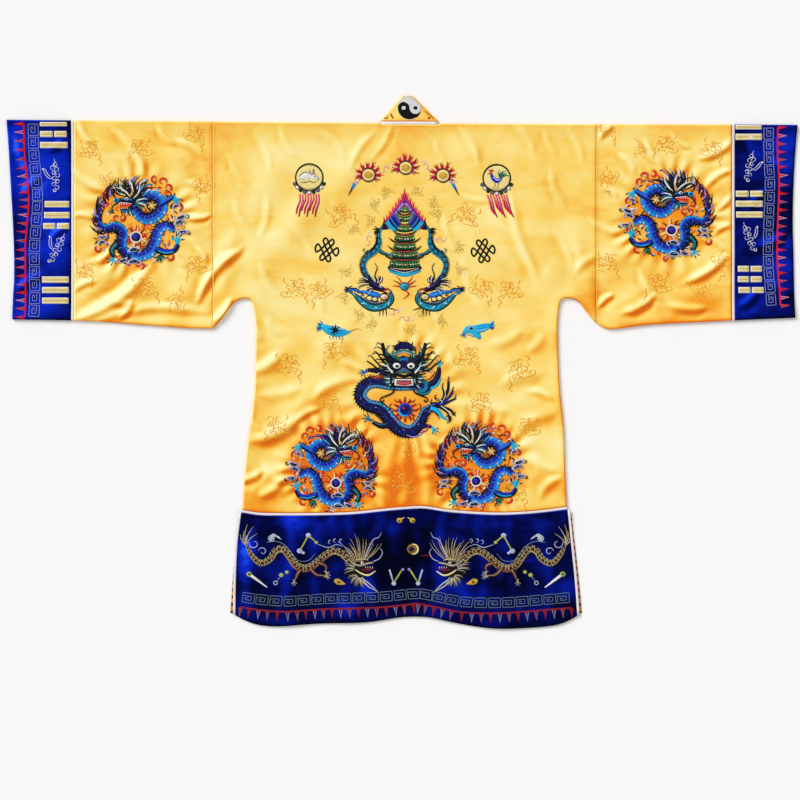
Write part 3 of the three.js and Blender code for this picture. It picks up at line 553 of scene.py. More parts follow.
class Needle:
    # sews in its own squares, u to the right and v down, from a place, size, turn and side of the chart
    def __init__(self, strokes, column, row, size=1.0, turn=0.0, mirror=False):
        self.strokes, self.column, self.row = strokes, column, row
        self.size, self.turn, self.mirror = size, turn, mirror

    def spots(self, points):
        p = np.array(points, float).reshape(-1, 2) * self.size
        if self.mirror:
            p = p * (-1, 1)
        c, s = math.cos(self.turn), math.sin(self.turn)
        return np.stack([p[:, 0] * c - p[:, 1] * s + self.column, p[:, 0] * s + p[:, 1] * c + self.row], 1)

    def at(self, u, v, size=1.0, turn=0.0, mirror=False):
        column, row = self.spots([(u, v)])[0]
        turn = math.radians(-turn if self.mirror else turn)
        return Needle(self.strokes, column, row, self.size * size, self.turn + turn, self.mirror != mirror)

    def stroke(self, points, width, colour, layer, closed=False, straight=False):
        path = self.spots(points)
        if isinstance(width, (int, float)):
            thin = width * stitching["taper"]
            width = (width,) if closed or straight else (thin, width, width, width, width, width, thin)
        if straight:
            # short steps, so that the thread can follow the creases
            steps = [max(1, int(math.ceil(math.hypot(*(b - a)) / stitching["straightStep"])))
                     for a, b in zip(path, path[1:])]
            runs = [a + (b - a) * np.arange(k)[:, None] / k for a, b, k in zip(path, path[1:], steps)]
            path = np.concatenate(runs + [path[-1:]])
            knots = np.concatenate([[0], np.cumsum(steps)]) / sum(steps)
        else:
            path = rounded(path, closed, stitching["step"])
            knots = []
        if len(width) != len(knots):
            knots = np.linspace(0, 1, len(width))
        wide = np.interp(np.linspace(0, 1, len(path)), knots, width) * self.size / 2
        self.strokes.append((path, wide, colour, layer, closed))

    def arch(self, half, ends, middle, thin, thick, colour, layer):
        # the same on both sides of the middle
        self.stroke([(-half, ends), (0, middle), (half, ends)], (thin, thick, thin), colour, layer)

    def disc(self, u, v, r, colour, layer):
        # one broad stroke, as wide at each place as the round is high there
        angles = np.linspace(math.pi, 0, 7 + 2 * int(r / 4))
        path = [(u + r * math.cos(a), v) for a in angles]
        self.stroke(path, tuple(max(2 * r * math.sin(a), 0.3 * r) for a in angles), colour, layer,
                    straight=True)

    def ring(self, u, v, r, width, colour, layer):
        angles = np.linspace(0, 2 * math.pi, max(9, int(4 + r * 2.2)))[:-1]
        path = [(u + r * math.cos(a), v + r * math.sin(a)) for a in angles]
        self.stroke(path, width, colour, layer, closed=True)

    def curl(self, u, v, r, start, sweep, width, colour, layer, shrink=0.35):
        # part of a spiral round a point, from one angle in degrees
        steps = max(4, int(abs(sweep) / 32))
        path = []
        for k in range(steps + 1):
            a = math.radians(start + sweep * k / steps)
            share = 1 - (1 - shrink) * k / steps
            path.append((u + r * share * math.cos(a), v + r * share * math.sin(a)))
        self.stroke(path, (width * 0.5, width, width, width * 0.5), colour, layer)


dice = random.Random(5)


def polar(angle, reach):
    return np.array((reach * math.cos(angle), reach * math.sin(angle)))


def fan(n, u, v, start, end, count, reach, width, colours, layer, bend=0.15, inner=0.0):
    # strokes that spread from one spot, between two angles in degrees
    for k in range(count):
        a = math.radians(start + (end - start) * (k + dice.uniform(-0.2, 0.2)) / max(count - 1, 1))
        far = reach * dice.uniform(0.8, 1.12)
        path = [polar(a, inner + (far - inner) * s) + polar(a + math.pi / 2, bend * far * w) + (u, v)
                for s, w in ((0, 0), (0.35, 0.8), (0.7, 0.9), (1, 0.2))]
        n.stroke(path, (width * 0.6, width, width * 0.75, width * 0.2), colours[k % len(colours)], layer)


def flames(n, u, v, r, start, end, count, reach, colours, layer, width):
    # bent tongues round a circle, between two angles in degrees
    for k in range(count):
        a = math.radians(start + (end - start) * k / max(count - 1, 1))
        far = r + reach * dice.uniform(0.75, 1.15)
        lean = 0.22 * (-1) ** k
        path = [polar(a + w, q) + (u, v) for q, w in ((r, 0), ((r + far) / 2, lean * 0.5), (far, lean * 0.2))]
        n.stroke(path, (width, width * 0.9, width * 0.25), colours[k % len(colours)], layer)


def scaledBody(n, path, widths, colours, layer, pitch=2.1, spikes=1, spikeLong=2.4, glow=0.0):
    # a long body: dark edge, ground, rows of scales, belly line and a comb of spikes on one side
    edge, ground, scale, belly, comb = colours
    n.stroke(path, widths, edge, layer)
    n.stroke(path, tuple(w * 0.76 for w in widths), ground, layer + 1)
    shares = np.linspace(0, 1, len(widths))
    for aside, thick, colour in ((0.13, 0.34, scale[0]),) + (((0.3, glow, belly[0]),) if glow else ()):
        lit = [spot - side * spikes * np.interp(share, shares, widths) * aside
               for spot, way, side, share in along(path, 4.0)]
        n.stroke(lit, tuple(w * thick for w in widths), colour, layer + 2)
    for k, (spot, way, side, share) in enumerate(along(path, pitch)):
        wide = np.interp(share, shares, widths)
        reach = side * wide * (0.22 if glow else 0.3)
        heart = spot + side * wide * (0.14 if glow else 0.06) * spikes
        n.stroke([heart + reach - way * 0.75, heart + way * 0.55, heart - reach - way * 0.75],
                 (0.6, 1.1, 0.6), scale[k % len(scale)], layer + 3)
        if 0.03 < share < 0.97:
            root = spot + side * spikes * wide * 0.42
            tip = side * spikes * spikeLong
            n.stroke([root - way * 0.9, root + tip * 0.55, root + tip + way * 1.1], (1.5, 1.1, 0.25),
                     comb[k % len(comb)], layer - 1)
    for k, (spot, way, side, share) in enumerate(along(path, pitch * 0.8)):
        aside = side * spikes * np.interp(share, shares, widths)
        root = spot - aside * 0.22
        n.stroke([root, root - aside * 0.27 + way * 0.3], (1.1, 0.7), belly[k % len(belly)], layer + 3)


def claw(n, u, v, turn, size=1.0, palm="cyan", nails=("black", "navy"), layer=5):
    c = n.at(u, v, size, turn)
    c.stroke([(-3.2, 0), (0, 0), (1.6, 0)], (2.2, 3.4, 1.6), palm, layer)
    for angle, far in ((-68, 4.4), (-28, 5.4), (10, 5.6), (48, 4.6)):
        out = polar(math.radians(angle), 1)
        aside = np.array((-out[1], out[0])) * 0.5
        c.stroke([out, out * far * 0.6 + aside, out * far], (1.5, 1.1, 0.5), palm, layer)
        c.stroke([out * far * 0.8, out * far * 1.25 - aside], (1.0, 0.2), nails[0], layer + 1)
    c.stroke([(-2.4, 1.0), (-3.6, 2.6)], (1.4, 0.3), nails[1], layer + 1)


def puff(n, glow, layer):
    # a small cloud: light rim, dark heart, and a scroll at each end
    n.stroke([(-3.4, 0.4), (-1, -0.4), (2.2, 0.2), (4.2, 1.4)], (3, 4.8, 3.8, 1), "lilac", layer)
    n.stroke([(-3, 0.4), (-0.8, -0.3), (2.2, 0.3)], (2, 3.6, 1.8), "black", layer + 1)
    n.stroke([(-1.4, -0.4), (0, -0.6), (1.2, -0.2)], (0.4, 0.9, 0.4), glow, layer + 2)
    n.curl(-4.2, 1.6, 2.1, 300, -260, 1, "lilac", layer)
    n.curl(4.6, -0.8, 1.7, 200, 250, 1, "black", layer)


def sideHead(h, layer, edge, ground, light, beard):
    # a dragon's head that looks to the left, with its origin where the neck begins
    fan(h, 1, -2, -150, -25, 13, 17, 1.7, ("black", "white", "black", edge), layer - 1, 0.16)
    fan(h, 2, 1, -30, 48, 8, 12, 1.5, ("black", beard, "white"), layer - 1, -0.14)
    fan(h, -1, 4.5, 50, 150, 8, 7, 1.2, (beard, "darkGreen", "white"), layer - 1, 0.12)
    h.stroke([(3.5, 1), (0, -1), (-4.5, -1.4)], (5.5, 7.2, 4.6), edge, layer)
    h.stroke([(-2, -1.6), (-6.5, -2.6), (-11.5, -1.8)], (4.6, 3.6, 3.4), edge, layer)
    h.stroke([(2.6, 0.6), (-1, -1.2), (-6.5, -2.3), (-10.6, -1.8)], (3, 4, 2, 1.6), ground, layer + 1)
    h.stroke([(1.6, -1.6), (-2.4, -3), (-7, -3.4)], (0.6, 0.9, 0.7), light, layer + 2)
    h.stroke([(1, 1.4), (-3.4, 0.4), (-8.6, -0.8)], (0.5, 0.8, 0.5), "white", layer + 2)
    h.disc(-11.2, -2.8, 2.3, light, layer + 1)
    h.disc(-11.2, -2.8, 1.3, "navy", layer + 2)
    h.stroke([(1.5, 4), (-4, 6.2), (-9, 5.2)], (4.4, 3.6, 1.8), edge, layer)
    h.stroke([(0.5, 4), (-4.2, 5.8), (-8.2, 5)], (2.2, 1.9, 1), ground, layer + 1)
    h.stroke([(-0.6, 5.2), (-4.6, 6.8), (-8.4, 5.8)], (0.5, 0.8, 0.5), light, layer + 2)
    h.stroke([(0.6, 1.9), (-4, 2.2), (-9.6, 0.9)], (1.6, 2.8, 1.3), "red", layer + 1)
    h.stroke([(-0.8, 2.4), (-5.6, 3.4), (-9.8, 3)], (1, 1.3, 0.5), "orange", layer + 2)
    for k in range(4):
        h.stroke([(-3.4 - 1.9 * k, 0.6 - 0.05 * k), (-3.6 - 1.9 * k, 1.9)], (0.8, 0.3), "white", layer + 3)
        h.stroke([(-3 - 1.6 * k, 4.9 - 0.1 * k), (-3.1 - 1.6 * k, 3.7)], (0.8, 0.3), "white", layer + 3)
    h.disc(-3, -3, 1.5, "white", layer + 3)
    h.disc(-3.2, -2.9, 0.9, "black", layer + 4)
    h.stroke([(-5.4, -4.2), (-3.2, -5.3), (-0.6, -4.2)], (0.5, 1.3, 0.8), "black", layer + 4)
    h.stroke([(-0.5, -4), (2.2, -8.5), (1.2, -12.5)], (1.9, 1.5, 0.5), "gold", layer + 1)
    h.stroke([(1.5, -3.2), (5.2, -7), (5.4, -11.5)], (1.7, 1.3, 0.4), "black", layer + 1)
    h.stroke([(-11, -4), (-13.5, -8), (-11.5, -11.5), (-8.5, -10.5)], (1, 0.9, 0.7, 0.4),
             "black", layer + 2)
    h.stroke([(-11, -0.4), (-14.6, 1.5), (-15.6, 5.4), (-13.2, 7)], (1, 0.9, 0.7, 0.4), "black", layer + 2)


def roundel(n, bare=False):
    blues = ("black", "royal", ("blue", "navy", "royal", "navy"), ("azure", "cyan", "azure", "white"),
             ("black", "navy", "black"))
    darks = ("black", "navy", ("royal", "black", "blue", "navy"), ("azure", "cyan", "blue", "teal"),
             ("black", "navy", "black"))
    # a ground of short strokes in warm threads fills the round, partly for its orange scrolls and partly as
    # painted shade of the puckered cloth between them
    warm = ("orange", "amber", "flame", "orange", "amber", "gold", "red", "amber")
    for k in range(300):
        a, q = dice.uniform(0, 2 * math.pi), 43.5 * math.sqrt(dice.uniform(0.02, 1))
        root = polar(a, q)
        lean, hook = a + dice.uniform(1, 2.2), dice.uniform(0.5, 1.2)
        if bare and k % 3 and math.hypot(*(root - (3, 15))) > 17:
            continue
        n.stroke([root, root + polar(lean, 2.6), root + polar(lean + hook, 4.8)], (1.1, 2.2, 0.8),
                 warm[k % len(warm)], 1)
    bits = ("white", "black", "black", "cyan", "magenta", "green", "navy", "royal", "white", "teal",
            "cream", "black")
    for k in range(170):
        a, q = dice.uniform(0, 2 * math.pi), 43 * math.sqrt(dice.uniform(0.1, 1))
        root, lean = polar(a, q), a + dice.uniform(0.6, 2.4)
        n.stroke([root, root + polar(lean, 2), root + polar(lean + 0.5, 3.8)], (0.8, 1.6, 0.5),
                 bits[k % len(bits)], 2)
    # scrolls of fire round the edge and below the jaw
    for u, v, r, start in ((-22, -37, 4, 160), (-15, -39, 3.4, 250), (-27, -32, 3.4, 120), (16, -4, 3.4, 40),
                           (22, -2, 2.8, 200), (-30, 33, 3.6, 30), (-38, -14, 3, 90), (38, 26, 3.4, 300),
                           (32, -28, 3, 10), (-2, 42, 2.6, 60)):
        n.curl(u, v, r, start, 290, 1.6, "flame", 3)
        n.curl(u, v, r + 1.4, start + 20, 230, 1.2, "red", 3)
        n.curl(u, v, r * 0.4, start, 200, 1, "cream", 4)
    # long hair behind the head
    fan(n, 4, -20, -170, -64, 19, 24, 2,
        ("black", "white", "royal", "navy", "black", "azure", "teal"), 3, 0.2)
    fan(n, 12, -24, -100, -38, 9, 19, 1.9, ("black", "teal", "black", "cream"), 3, 0.2)
    # coil behind the neck, then the body round the left, the foot and the right to the tail
    scaledBody(n, [(-3, -18), (-9, -25), (-18, -22), (-22, -13), (-16, -5), (-6, -2), (2, -7), (6, -14)],
               (6, 9, 10.5, 11, 11.5, 11, 9.5, 8), blues, 4, spikes=-1, glow=0.34)
    n.disc(-12, -14.5, 5.2, "black", 8)
    flames(n, -12, -14.5, 1, 0, 330, 12, 3.8, ("gold", "cream", "amber"), 9, 1.4)
    n.disc(-12, -14.5, 1.4, "cream", 10)
    scaledBody(n, [(-33, 8), (-25, 4), (-18, 9), (-15, 19), (-11, 28), (-1, 33), (7, 31)],
               (6, 9.5, 11, 11.5, 12, 10.5, 8), blues, 4, spikes=-1, glow=0.34)
    scaledBody(n, [(7, 33), (15, 28), (17, 19), (15, 11), (22, 5), (32, 7), (39, 2)],
               (7, 10, 11, 10.5, 10, 8.5, 6), darks, 4, spikes=1, glow=0.28)
    strands = ("black", "navy", "black", "violet", "black", "black", "navy", "crimson")
    for k in range(30):
        a, q = math.radians(20 - 2.3 * k), 35.5 + 1.3 * (k % 3)
        far, turned = q + dice.uniform(5.5, 9), math.radians(dice.uniform(8, 17))
        n.stroke([polar(a, q), polar(a - turned * 0.35, (q + far) / 2) + (1, 0), polar(a - turned, far)],
                 (1.7, 1.5, 0.4), strands[k % len(strands)], 5 + k % 2)
    n.stroke([(36, 8), (39, -2), (38.4, -11), (34, -20)], (4.6, 5.4, 3.6, 0.8), "navy", 5)
    n.stroke([(37, 4), (38, -4), (36, -13)], (1.2, 1.6, 0.6), "royal", 7)
    n.stroke([(35, 3), (36, -5), (33, -13)], (1, 1.2, 0.6), "black", 7)
    sideHead(n.at(8, -18, 1.2, 6, True), 9, "black", "navy", "cyan", "teal")
    # legs and claws
    n.stroke([(-20, -16), (-27, -20), (-32, -24)], (7, 6, 4.5), "black", 8)
    n.stroke([(-20, -17), (-27, -21), (-32, -24)], (3.4, 3, 2.2), "blue", 9)
    n.stroke([(-19, -15), (-26, -18.6), (-31, -22)], (1.4, 1.6, 1), "royal", 10)
    claw(n, -34, -21, 128, 1.35)
    n.stroke([(-15, 26), (-24, 29), (-33, 28), (-37, 22)], (7.5, 6.5, 5, 4), "black", 8)
    n.stroke([(-16, 26), (-24, 28), (-32, 27), (-36, 22)], (4, 3.8, 3, 2.4), "royal", 9)
    n.stroke([(-18, 28), (-25, 30), (-33, 29)], (1.2, 1.6, 1), "cyan", 10)
    claw(n, -36, 19, -92, 1.35, "cyan", ("black", "gold"))
    n.stroke([(20, 20), (26, 27), (24, 34)], (7, 6, 4), "black", 8)
    n.stroke([(21, 21), (25.6, 27), (24, 33)], (3, 3, 2.2), "teal", 9)
    claw(n, 25, 35, 70, 1.1)
    claw(n, 35, 17, 24, 1.3, "gold", ("black", "navy"))
    fan(n, -18, 32, 70, 160, 7, 8, 1.5, ("black", "teal", "green"), 3, 0.1)
    # pearl in its fire
    flames(n, 3, 15, 5.4, 0, 345, 20, 6.4, ("red", "flame", "crimson", "amber", "cream"), 5, 1.8)
    n.ring(3, 15, 5, 1.5, "white", 6)
    n.disc(3, 15, 4.3, "navy", 7)
    n.disc(3.6, 14.4, 2.6, "royal", 8)
    n.disc(3, 16.2, 1.1, "purple", 9)
    for u, v, turn, size, glow in ((-40, -4, 200, 1.25, "steel"), (-37, 1, 20, 1.1, "cyan"),
                                   (-42, 10, 180, 1.1, "silver"), (6, 27, 8, 1.25, "teal"),
                                   (6, 38, 4, 1.35, "cyan"), (15, 37, 200, 1.1, "steel"),
                                   (34, 15, 190, 0.9, "violet"), (36, 20, 10, 0.9, "steel"),
                                   (-34, -14, 30, 0.8, "magenta")):
        puff(n.at(u, v, size, turn), glow, 8)
    fan(n, 28, -2, 60, 130, 9, 9, 1.6, ("gold", "rust", "cream", "orange"), 5)


def frontDragon(n):
    darks = ("black", "navy", ("navy", "black", "royal", "black"), ("cyan", "teal", "violet", "steel"),
             ("black", "black", "navy"))
    # body: from behind the jaw, round the left, under the pearl, up to the tail
    path = [(12, -5), (-10, -6), (-30, -9), (-41, -4), (-44, 6), (-37, 14), (-24, 18), (-15, 28), (-5, 38),
            (7, 40), (16, 31), (21, 20), (31, 15), (38, 13)]
    scaledBody(n, path, (9, 11, 12.4, 12.8, 13, 13, 13.4, 14.6, 15, 14.4, 13, 10.6, 8, 5), darks, 2, spikes=1,
               spikeLong=2.8, glow=0.12)
    bits = ("purple", "royal", "darkGreen", "blue", "violet", "black")
    for k, (spot, way, across, share) in enumerate(along(path, 3)):
        spot = spot + across * dice.uniform(-4, 2.6)
        n.stroke([spot - way * 1.2, spot + way * 1.4], (0.9, 0.5), bits[k % len(bits)], 6)
    # tail of long black strands
    for k, (u, v) in enumerate(((44.6, -15), (38.8, -8), (49, -5), (51.4, 3), (31.6, 3.4), (27.4, 8),
                                (50.6, 20.4), (46, 26))):
        n.stroke([(34, 15.4), ((35 + u) / 2 + 2.6, (15 + v) / 2 + 1), (u - 1, v + 4), (u, v)],
                 (2.8, 2.8, 2, 0.5), "black", 6)
        n.stroke([(36, 14.4), ((36 + u) / 2 + 3.4, (15 + v) / 2 + 1), (u + 0.4, v + 5)], (1.4, 1, 0.4),
                 ("navy", "white", "royal")[k % 3], 7)
    n.stroke([(26, 17), (33, 20), (38, 26), (43, 29)], (5, 5.4, 3.6, 1.6), "cyan", 6)
    n.stroke([(27, 19), (32, 23), (35, 28)], (1.6, 1.6, 0.6), "navy", 7)
    n.curl(43, 27, 4.6, 100, -250, 1.6, "black", 7)
    # scaled shoulder and raised arm on one side, a reaching arm on the other
    n.disc(19, -3, 8.2, "teal", 4)
    n.disc(18.6, -3.6, 7.2, "navy", 5)
    for q in (2, 4, 5.8):
        n.curl(17, -5, q, -60, 190, 1.1, ("royal", "cyan", "royal")[int(q) // 2 - 1], 6, 1)
    n.stroke([(25, -6), (31, -10), (34, -18), (34.4, -24)], (7, 7.4, 6, 3.6), "black", 4)
    n.stroke([(25, -6), (31, -10), (34, -18), (34.4, -23)], (4.6, 5, 3.6, 1.8), "navy", 5)
    n.stroke([(26, -2.6), (32, -5.6), (36.4, -13)], (2.2, 2.6, 1.2), "cyan", 6)
    n.stroke([(24, -11), (28, -15), (30.6, -20)], (1, 1.6, 0.5), "crimson", 6)
    claw(n, 34.6, -26, -80, 0.9)
    n.stroke([(-16, -17), (-25, -20), (-37, -21)], (8, 6, 4), "black", 4)
    n.stroke([(-17, -16), (-25, -19), (-35, -20.6)], (2.6, 2.2, 1.8), "navy", 5)
    claw(n, -40, -19, 160, 0.9, "blue")
    n.stroke([(-20, -14), (-29, -13), (-35, -15)], (4.6, 4, 2), "rust", 4)
    n.stroke([(-24, -15), (-30, -13)], (1.4, 1.2), "orange", 5)
    n.stroke([(-22, -19), (-26, -13)], (1.6, 1.2), "crimson", 5)
    n.stroke([(-14, 33), (-23, 35), (-32, 31)], (7, 6, 4), "navy", 6)
    n.stroke([(-17, 35), (-24, 36), (-32, 32)], (2.4, 2.8, 1.8), "black", 7)
    n.stroke([(-18, 33), (-26, 33.4), (-31, 30)], (0.8, 1.2, 0.8), "teal", 8)
    claw(n, -36, 28, -145, 1.05, "teal", ("black", "navy"), 7)
    n.stroke([(14, 36), (22, 35), (27, 36)], (5, 4, 3), "navy", 6)
    claw(n, 29, 38, 60, 0.95, "cyan", ("black", "navy"), 7)
    n.stroke([(2, 44), (10, 46), (18, 42)], (1, 1.6, 1), "violet", 7)
    n.stroke([(16, 42), (22, 39), (25, 33)], (1.4, 1.6, 0.8), "magenta", 7)
    # pearl in its fire
    for start, end, count in ((-125, -55, 6), (140, 215, 6), (-35, 40, 6), (50, 130, 6)):
        flames(n, 0.5, 19, 7.6, start, end, count, 5.6, ("crimson", "red", "crimson", "flame"), 5, 1.7)
    for u, v, start, sweep in ((-12, 15, 60, 200), (13.6, 15, 120, -200), (-10, 27, -60, 180),
                               (11.6, 27, 240, -180), (-7, 8, 20, 160), (8, 8, 160, -160)):
        n.curl(u, v, 3.4, start, sweep, 1.4, "crimson", 5, 0.7)
    n.disc(0.5, 19, 7.2, "royal", 6)
    n.curl(0.5, 19, 6, 60, 140, 2.2, "cyan", 7, 1)
    n.disc(0.8, 18.4, 5.2, "navy", 8)
    n.curl(1.2, 18.4, 3.4, -80, 200, 1.4, "black", 9, 0.9)
    n.disc(-0.6, 17.4, 1.2, "magenta", 9)
    n.curl(1.2, 18.6, 4.2, -40, 110, 0.8, "green", 9, 0.9)
    # face, in front of its hair
    fan(n, -0.6, -19, -152, -28, 30, 25, 2,
        ("black", "teal", "navy", "darkGreen", "black", "teal", "black", "leaf"), 3, 0.14, 6)
    fan(n, -0.6, -17, 158, 208, 9, 25, 1.7, ("black", "teal", "black", "darkGreen"), 3, 0.12, 8)
    fan(n, -0.6, -17, -28, 22, 9, 25, 1.7, ("teal", "black", "darkGreen", "black"), 3, 0.12, 8)
    for side in (False, True):
        f = n.at(-0.6, -19, 1, 0, side)
        for u, v, lift in ((28, -25, 5), (30, -19, 6), (27, -13, 3), (26, -29, 3)):
            f.stroke([(10, -3), (17, v * 0.5 - 5), (24, v + lift * 0.2), (u, v), (u + 2, v + 2)],
                     (2.4, 2.4, 1.8, 1.2, 0.4), "black", 5)
        fan(f, 9, -2, -48, 20, 9, 19, 1.5, ("white", "black", "teal", "black"), 5, -0.12, 4)
        f.stroke([(11, 1), (15, 6), (15, 12), (11, 16)], (4, 8, 7, 3), "darkGreen", 5)
        fan(f, 9, 6, -10, 60, 11, 12, 1.5, ("teal", "white", "black", "green"), 6, 0.1, 2)
        f.stroke([(2.5, -8), (9, -10), (16, -15), (20, -22), (21.5, -29)], (4, 8, 7.4, 4.2, 3), "black", 6)
        f.stroke([(5, -8.6), (10, -10.5), (15.6, -15.6)], (1.4, 2.4, 1.4), "navy", 7)
        f.stroke([(16.5, -16), (17.6, -22), (14.6, -27)], (1.8, 1.6, 0.6), "teal", 7)
        f.stroke([(10, -14), (11.6, -19), (9.6, -23)], (2.2, 2, 0.8), "teal", 6)
        f.stroke([(7, -4), (8, 1), (10, 5)], (9, 7, 3), "black", 6)
        for strand in ([(13, -3), (19, -9), (24, -15), (28, -20.4), (30.6, -20)],
                       [(13, -1), (21, -4.4), (27, -9.4), (33.4, -16.4), (36, -15.4)],
                       [(14, 0), (24, -1.6), (31, -7), (37, -11)]):
            f.stroke(strand, (1.3, 2.1, 1.9, 1.3, 0.5)[:len(strand)], "black", 7)
        f.disc(7.2, -6, 5, "black", 7)
        f.disc(7.2, -6.2, 3.8, "white", 8)
        f.disc(6.9, -5.7, 1.8, "black", 9)
        f.stroke([(12, -9), (14.5, -4), (12.5, 3), (13, 10), (11, 15)], (2.6, 3.6, 3.2, 3.2, 2), "black", 7)
        f.stroke([(11, 1), (14.6, -3), (17, -8)], (2.4, 2, 0.8), "white", 8)
        f.stroke([(9, 16), (11.5, 21), (19, 24.4), (23, 26)], (1.7, 1.8, 1.7, 1.4), "black", 9)
        f.curl(21.4, 28, 2.8, -60, 270, 1.6, "black", 9)
        f.stroke([(0, 4.4), (5.5, 3.4), (8.6, 4.6)], (3.4, 3, 1), "black", 8)
    f = n.at(-0.6, -19)
    f.stroke([(-9, -22), (-4, -26), (4, -26), (9, -22)], (4.5, 7.4, 7.4, 4.5), "navy", 6)
    for k in range(9):
        u, v = -9 + 2.2 * k, -23 - 2.6 * math.sin(0.35 * k + 0.3)
        f.stroke([(u, v), (u + 0.6, v - 2.4)], (0.7, 0.9), ("black", "royal")[k % 2], 7)
    fan(f, 0, -18, -152, -28, 12, 13.8, 1.5, ("black",), 7, 0.16, 9)
    f.arch(9.4, -18.6, -21.4, 2.2, 2.4, "teal", 7)
    f.arch(8, -17.4, -20, 0.6, 0.9, "white", 8)
    f.arch(6, -15.6, -17.6, 2, 3.6, "amber", 7)
    f.stroke([(0, -14), (0, -6), (0, 1)], (6, 6.4, 7.6), "navy", 7)
    f.arch(3.8, -11.6, -12.8, 1.6, 3, "blue", 8)
    f.stroke([(-7.6, 1.4), (-3.4, -1.4), (0, -3.2), (3.4, -1.4), (7.6, 1.4)],
             (1, 1.8, 2.4, 1.8, 1), "steel", 9)
    f.arch(4.6, 1, -0.8, 1, 2.4, "teal", 9)
    f.disc(-3.4, 2.8, 1.2, "navy", 9)
    f.disc(3.4, 2.8, 1.2, "navy", 9)
    # the open jaws, from the lips to the tongue: half width, height of the corners and the middle, bulk there
    for half, corner, middle, thin, thick, colour, layer in (
            (10, 10.4, 10.8, 9.6, 10.2, "black", 7), (9.3, 10.2, 10.6, 8.2, 8.8, "white", 8),
            (7.4, 10.2, 10.6, 5.6, 6, "black", 9), (6.6, 10.2, 10.6, 4.4, 4.9, "coral", 10),
            (5.6, 9.6, 9.2, 0.7, 1.6, "crimson", 11), (5.2, 12.4, 13, 0.8, 1.4, "red", 11)):
        f.arch(half, corner, middle, thin, thick, colour, layer)
    for k in range(6):
        f.stroke([(-5.5 + 2.2 * k, 7), (-5.5 + 2.2 * k, 8.6)], (1.3, 0.6), "white", 11)


def pearlInRays(n):
    for start, end, count, reach, colours in ((-198, 18, 15, 8.4, ("crimson", "red")),
                                              (-190, 10, 14, 6.8, ("red", "magenta")),
                                              (150, 190, 3, 4.6, ("magenta",)),
                                              (-10, 30, 3, 4.6, ("magenta",))):
        flames(n, 0, 0.4, 6.4, start, end, count, reach, colours, 3, 1.7)
    n.disc(0, 0, 7, "straw", 4)
    n.ring(0, 0, 6.6, 1.3, "cord", 6)
    n.disc(0, 0, 4.4, "gold", 5)
    for k in range(3):
        n.curl(0, 0, 3.6 - 1.1 * k, 70 * k, 260, 0.7, ("olive", "amber", "straw")[k], 6, 0.8)


def tasselDisc(n, lean, animal):
    n.disc(0, 0, 13.4, "straw", 1)
    n.ring(0, 0, 13.6, 1.6, "black", 3)
    for k in range(9):
        a = math.radians(25 + 130 * k / 8)
        u, v = 16 * math.cos(a), 15.2 * math.sin(a)
        n.disc(u, v, 1.9, ("darkGreen", "white", "steel")[k % 3], 3)
        n.ring(u, v, 1.8, 0.6, "black", 4)
    for k in range(8):
        u = -9.4 + 2.7 * k
        drop = 20 + 3.4 * math.sin(k * 2.1)
        path = [(u, 16.5), (u + lean * 0.2 + 0.8, 16.5 + drop * 0.35),
                (u + lean * 0.6 - 0.5, 16.5 + drop * 0.7), (u + lean, 16.5 + drop)]
        n.stroke([(a + 0.85, b) for a, b in path[1:]], (0.9, 1.3, 0.5), "crimson", 2)
        n.stroke(path, (1.6, 2, 1.5, 0.5), ("scarlet", "magenta", "scarlet")[k % 3], 3)
        # painted highlight: a pale pink line along the left of each strand
        n.stroke([(a - 0.4, b) for a, b in path[:3]], (0.5, 0.7, 0.3), "pink", 4)
    animal(n)


def hare(n):
    n.stroke([(-9, 1), (-4, -1.6), (1, 0)], (4, 8, 5.5), "white", 4)
    n.stroke([(1, 0.4), (5.4, -0.4), (9, 1.6)], (4.6, 5, 2), "white", 4)
    n.stroke([(2, -2), (0.8, -6.8)], (2.2, 0.8), "white", 4)
    n.stroke([(3.8, -2.4), (4.6, -7.6)], (2.2, 0.8), "pink", 4)
    n.stroke([(-10.4, 2.4), (-9.4, -2), (-4.4, -5.4), (0.4, -3.4)], (0.5, 0.8, 0.8, 0.5), "black", 5)
    n.stroke([(0.4, -3.4), (0.2, -7.2), (2.4, -3.4), (4.4, -8.2), (5.6, -3), (9.6, 1), (7.4, 3.4)],
             0.7, "black", 5)
    n.stroke([(-9, 4.6), (-4, 5.2), (0, 3.6), (4, 5.4), (7, 3.6)], 0.8, "black", 5)
    n.stroke([(-7, 1.4), (-4.6, 3.6)], (0.5, 0.7), "steel", 5)
    n.disc(5.6, -0.6, 0.8, "black", 6)
    n.disc(-10.2, 0.8, 1.3, "white", 5)


def rooster(n):
    n.stroke([(-5.4, -4.4), (-4, -0.6), (0, 2.4), (5, 0.6)], (2.2, 5, 6.6, 3), "royal", 4)
    n.stroke([(-3.6, -1.2), (0.4, 1.8), (4, 1)], (1.2, 2.4, 1.4), "silver", 5)
    n.stroke([(-6, -5.6), (-6.8, -3.6)], (2.4, 1.8), "red", 5)
    fan(n, -5.8, -6, -140, -40, 4, 3.4, 1.3, ("red",), 5)
    n.stroke([(-7.6, -4.8), (-9.6, -4.2)], (1.1, 0.3), "gold", 5)
    fan(n, 4.4, 0.4, -100, -10, 7, 8.4, 1.6, ("green", "darkGreen", "teal"), 4, -0.25)
    for u in (-1.6, 1.6):
        n.stroke([(u, 4.6), (u - 0.4, 8.6), (u - 2.2, 9.4)], (0.8, 0.7, 0.4), "rust", 5)
    n.disc(-6.4, -5, 0.45, "black", 6)


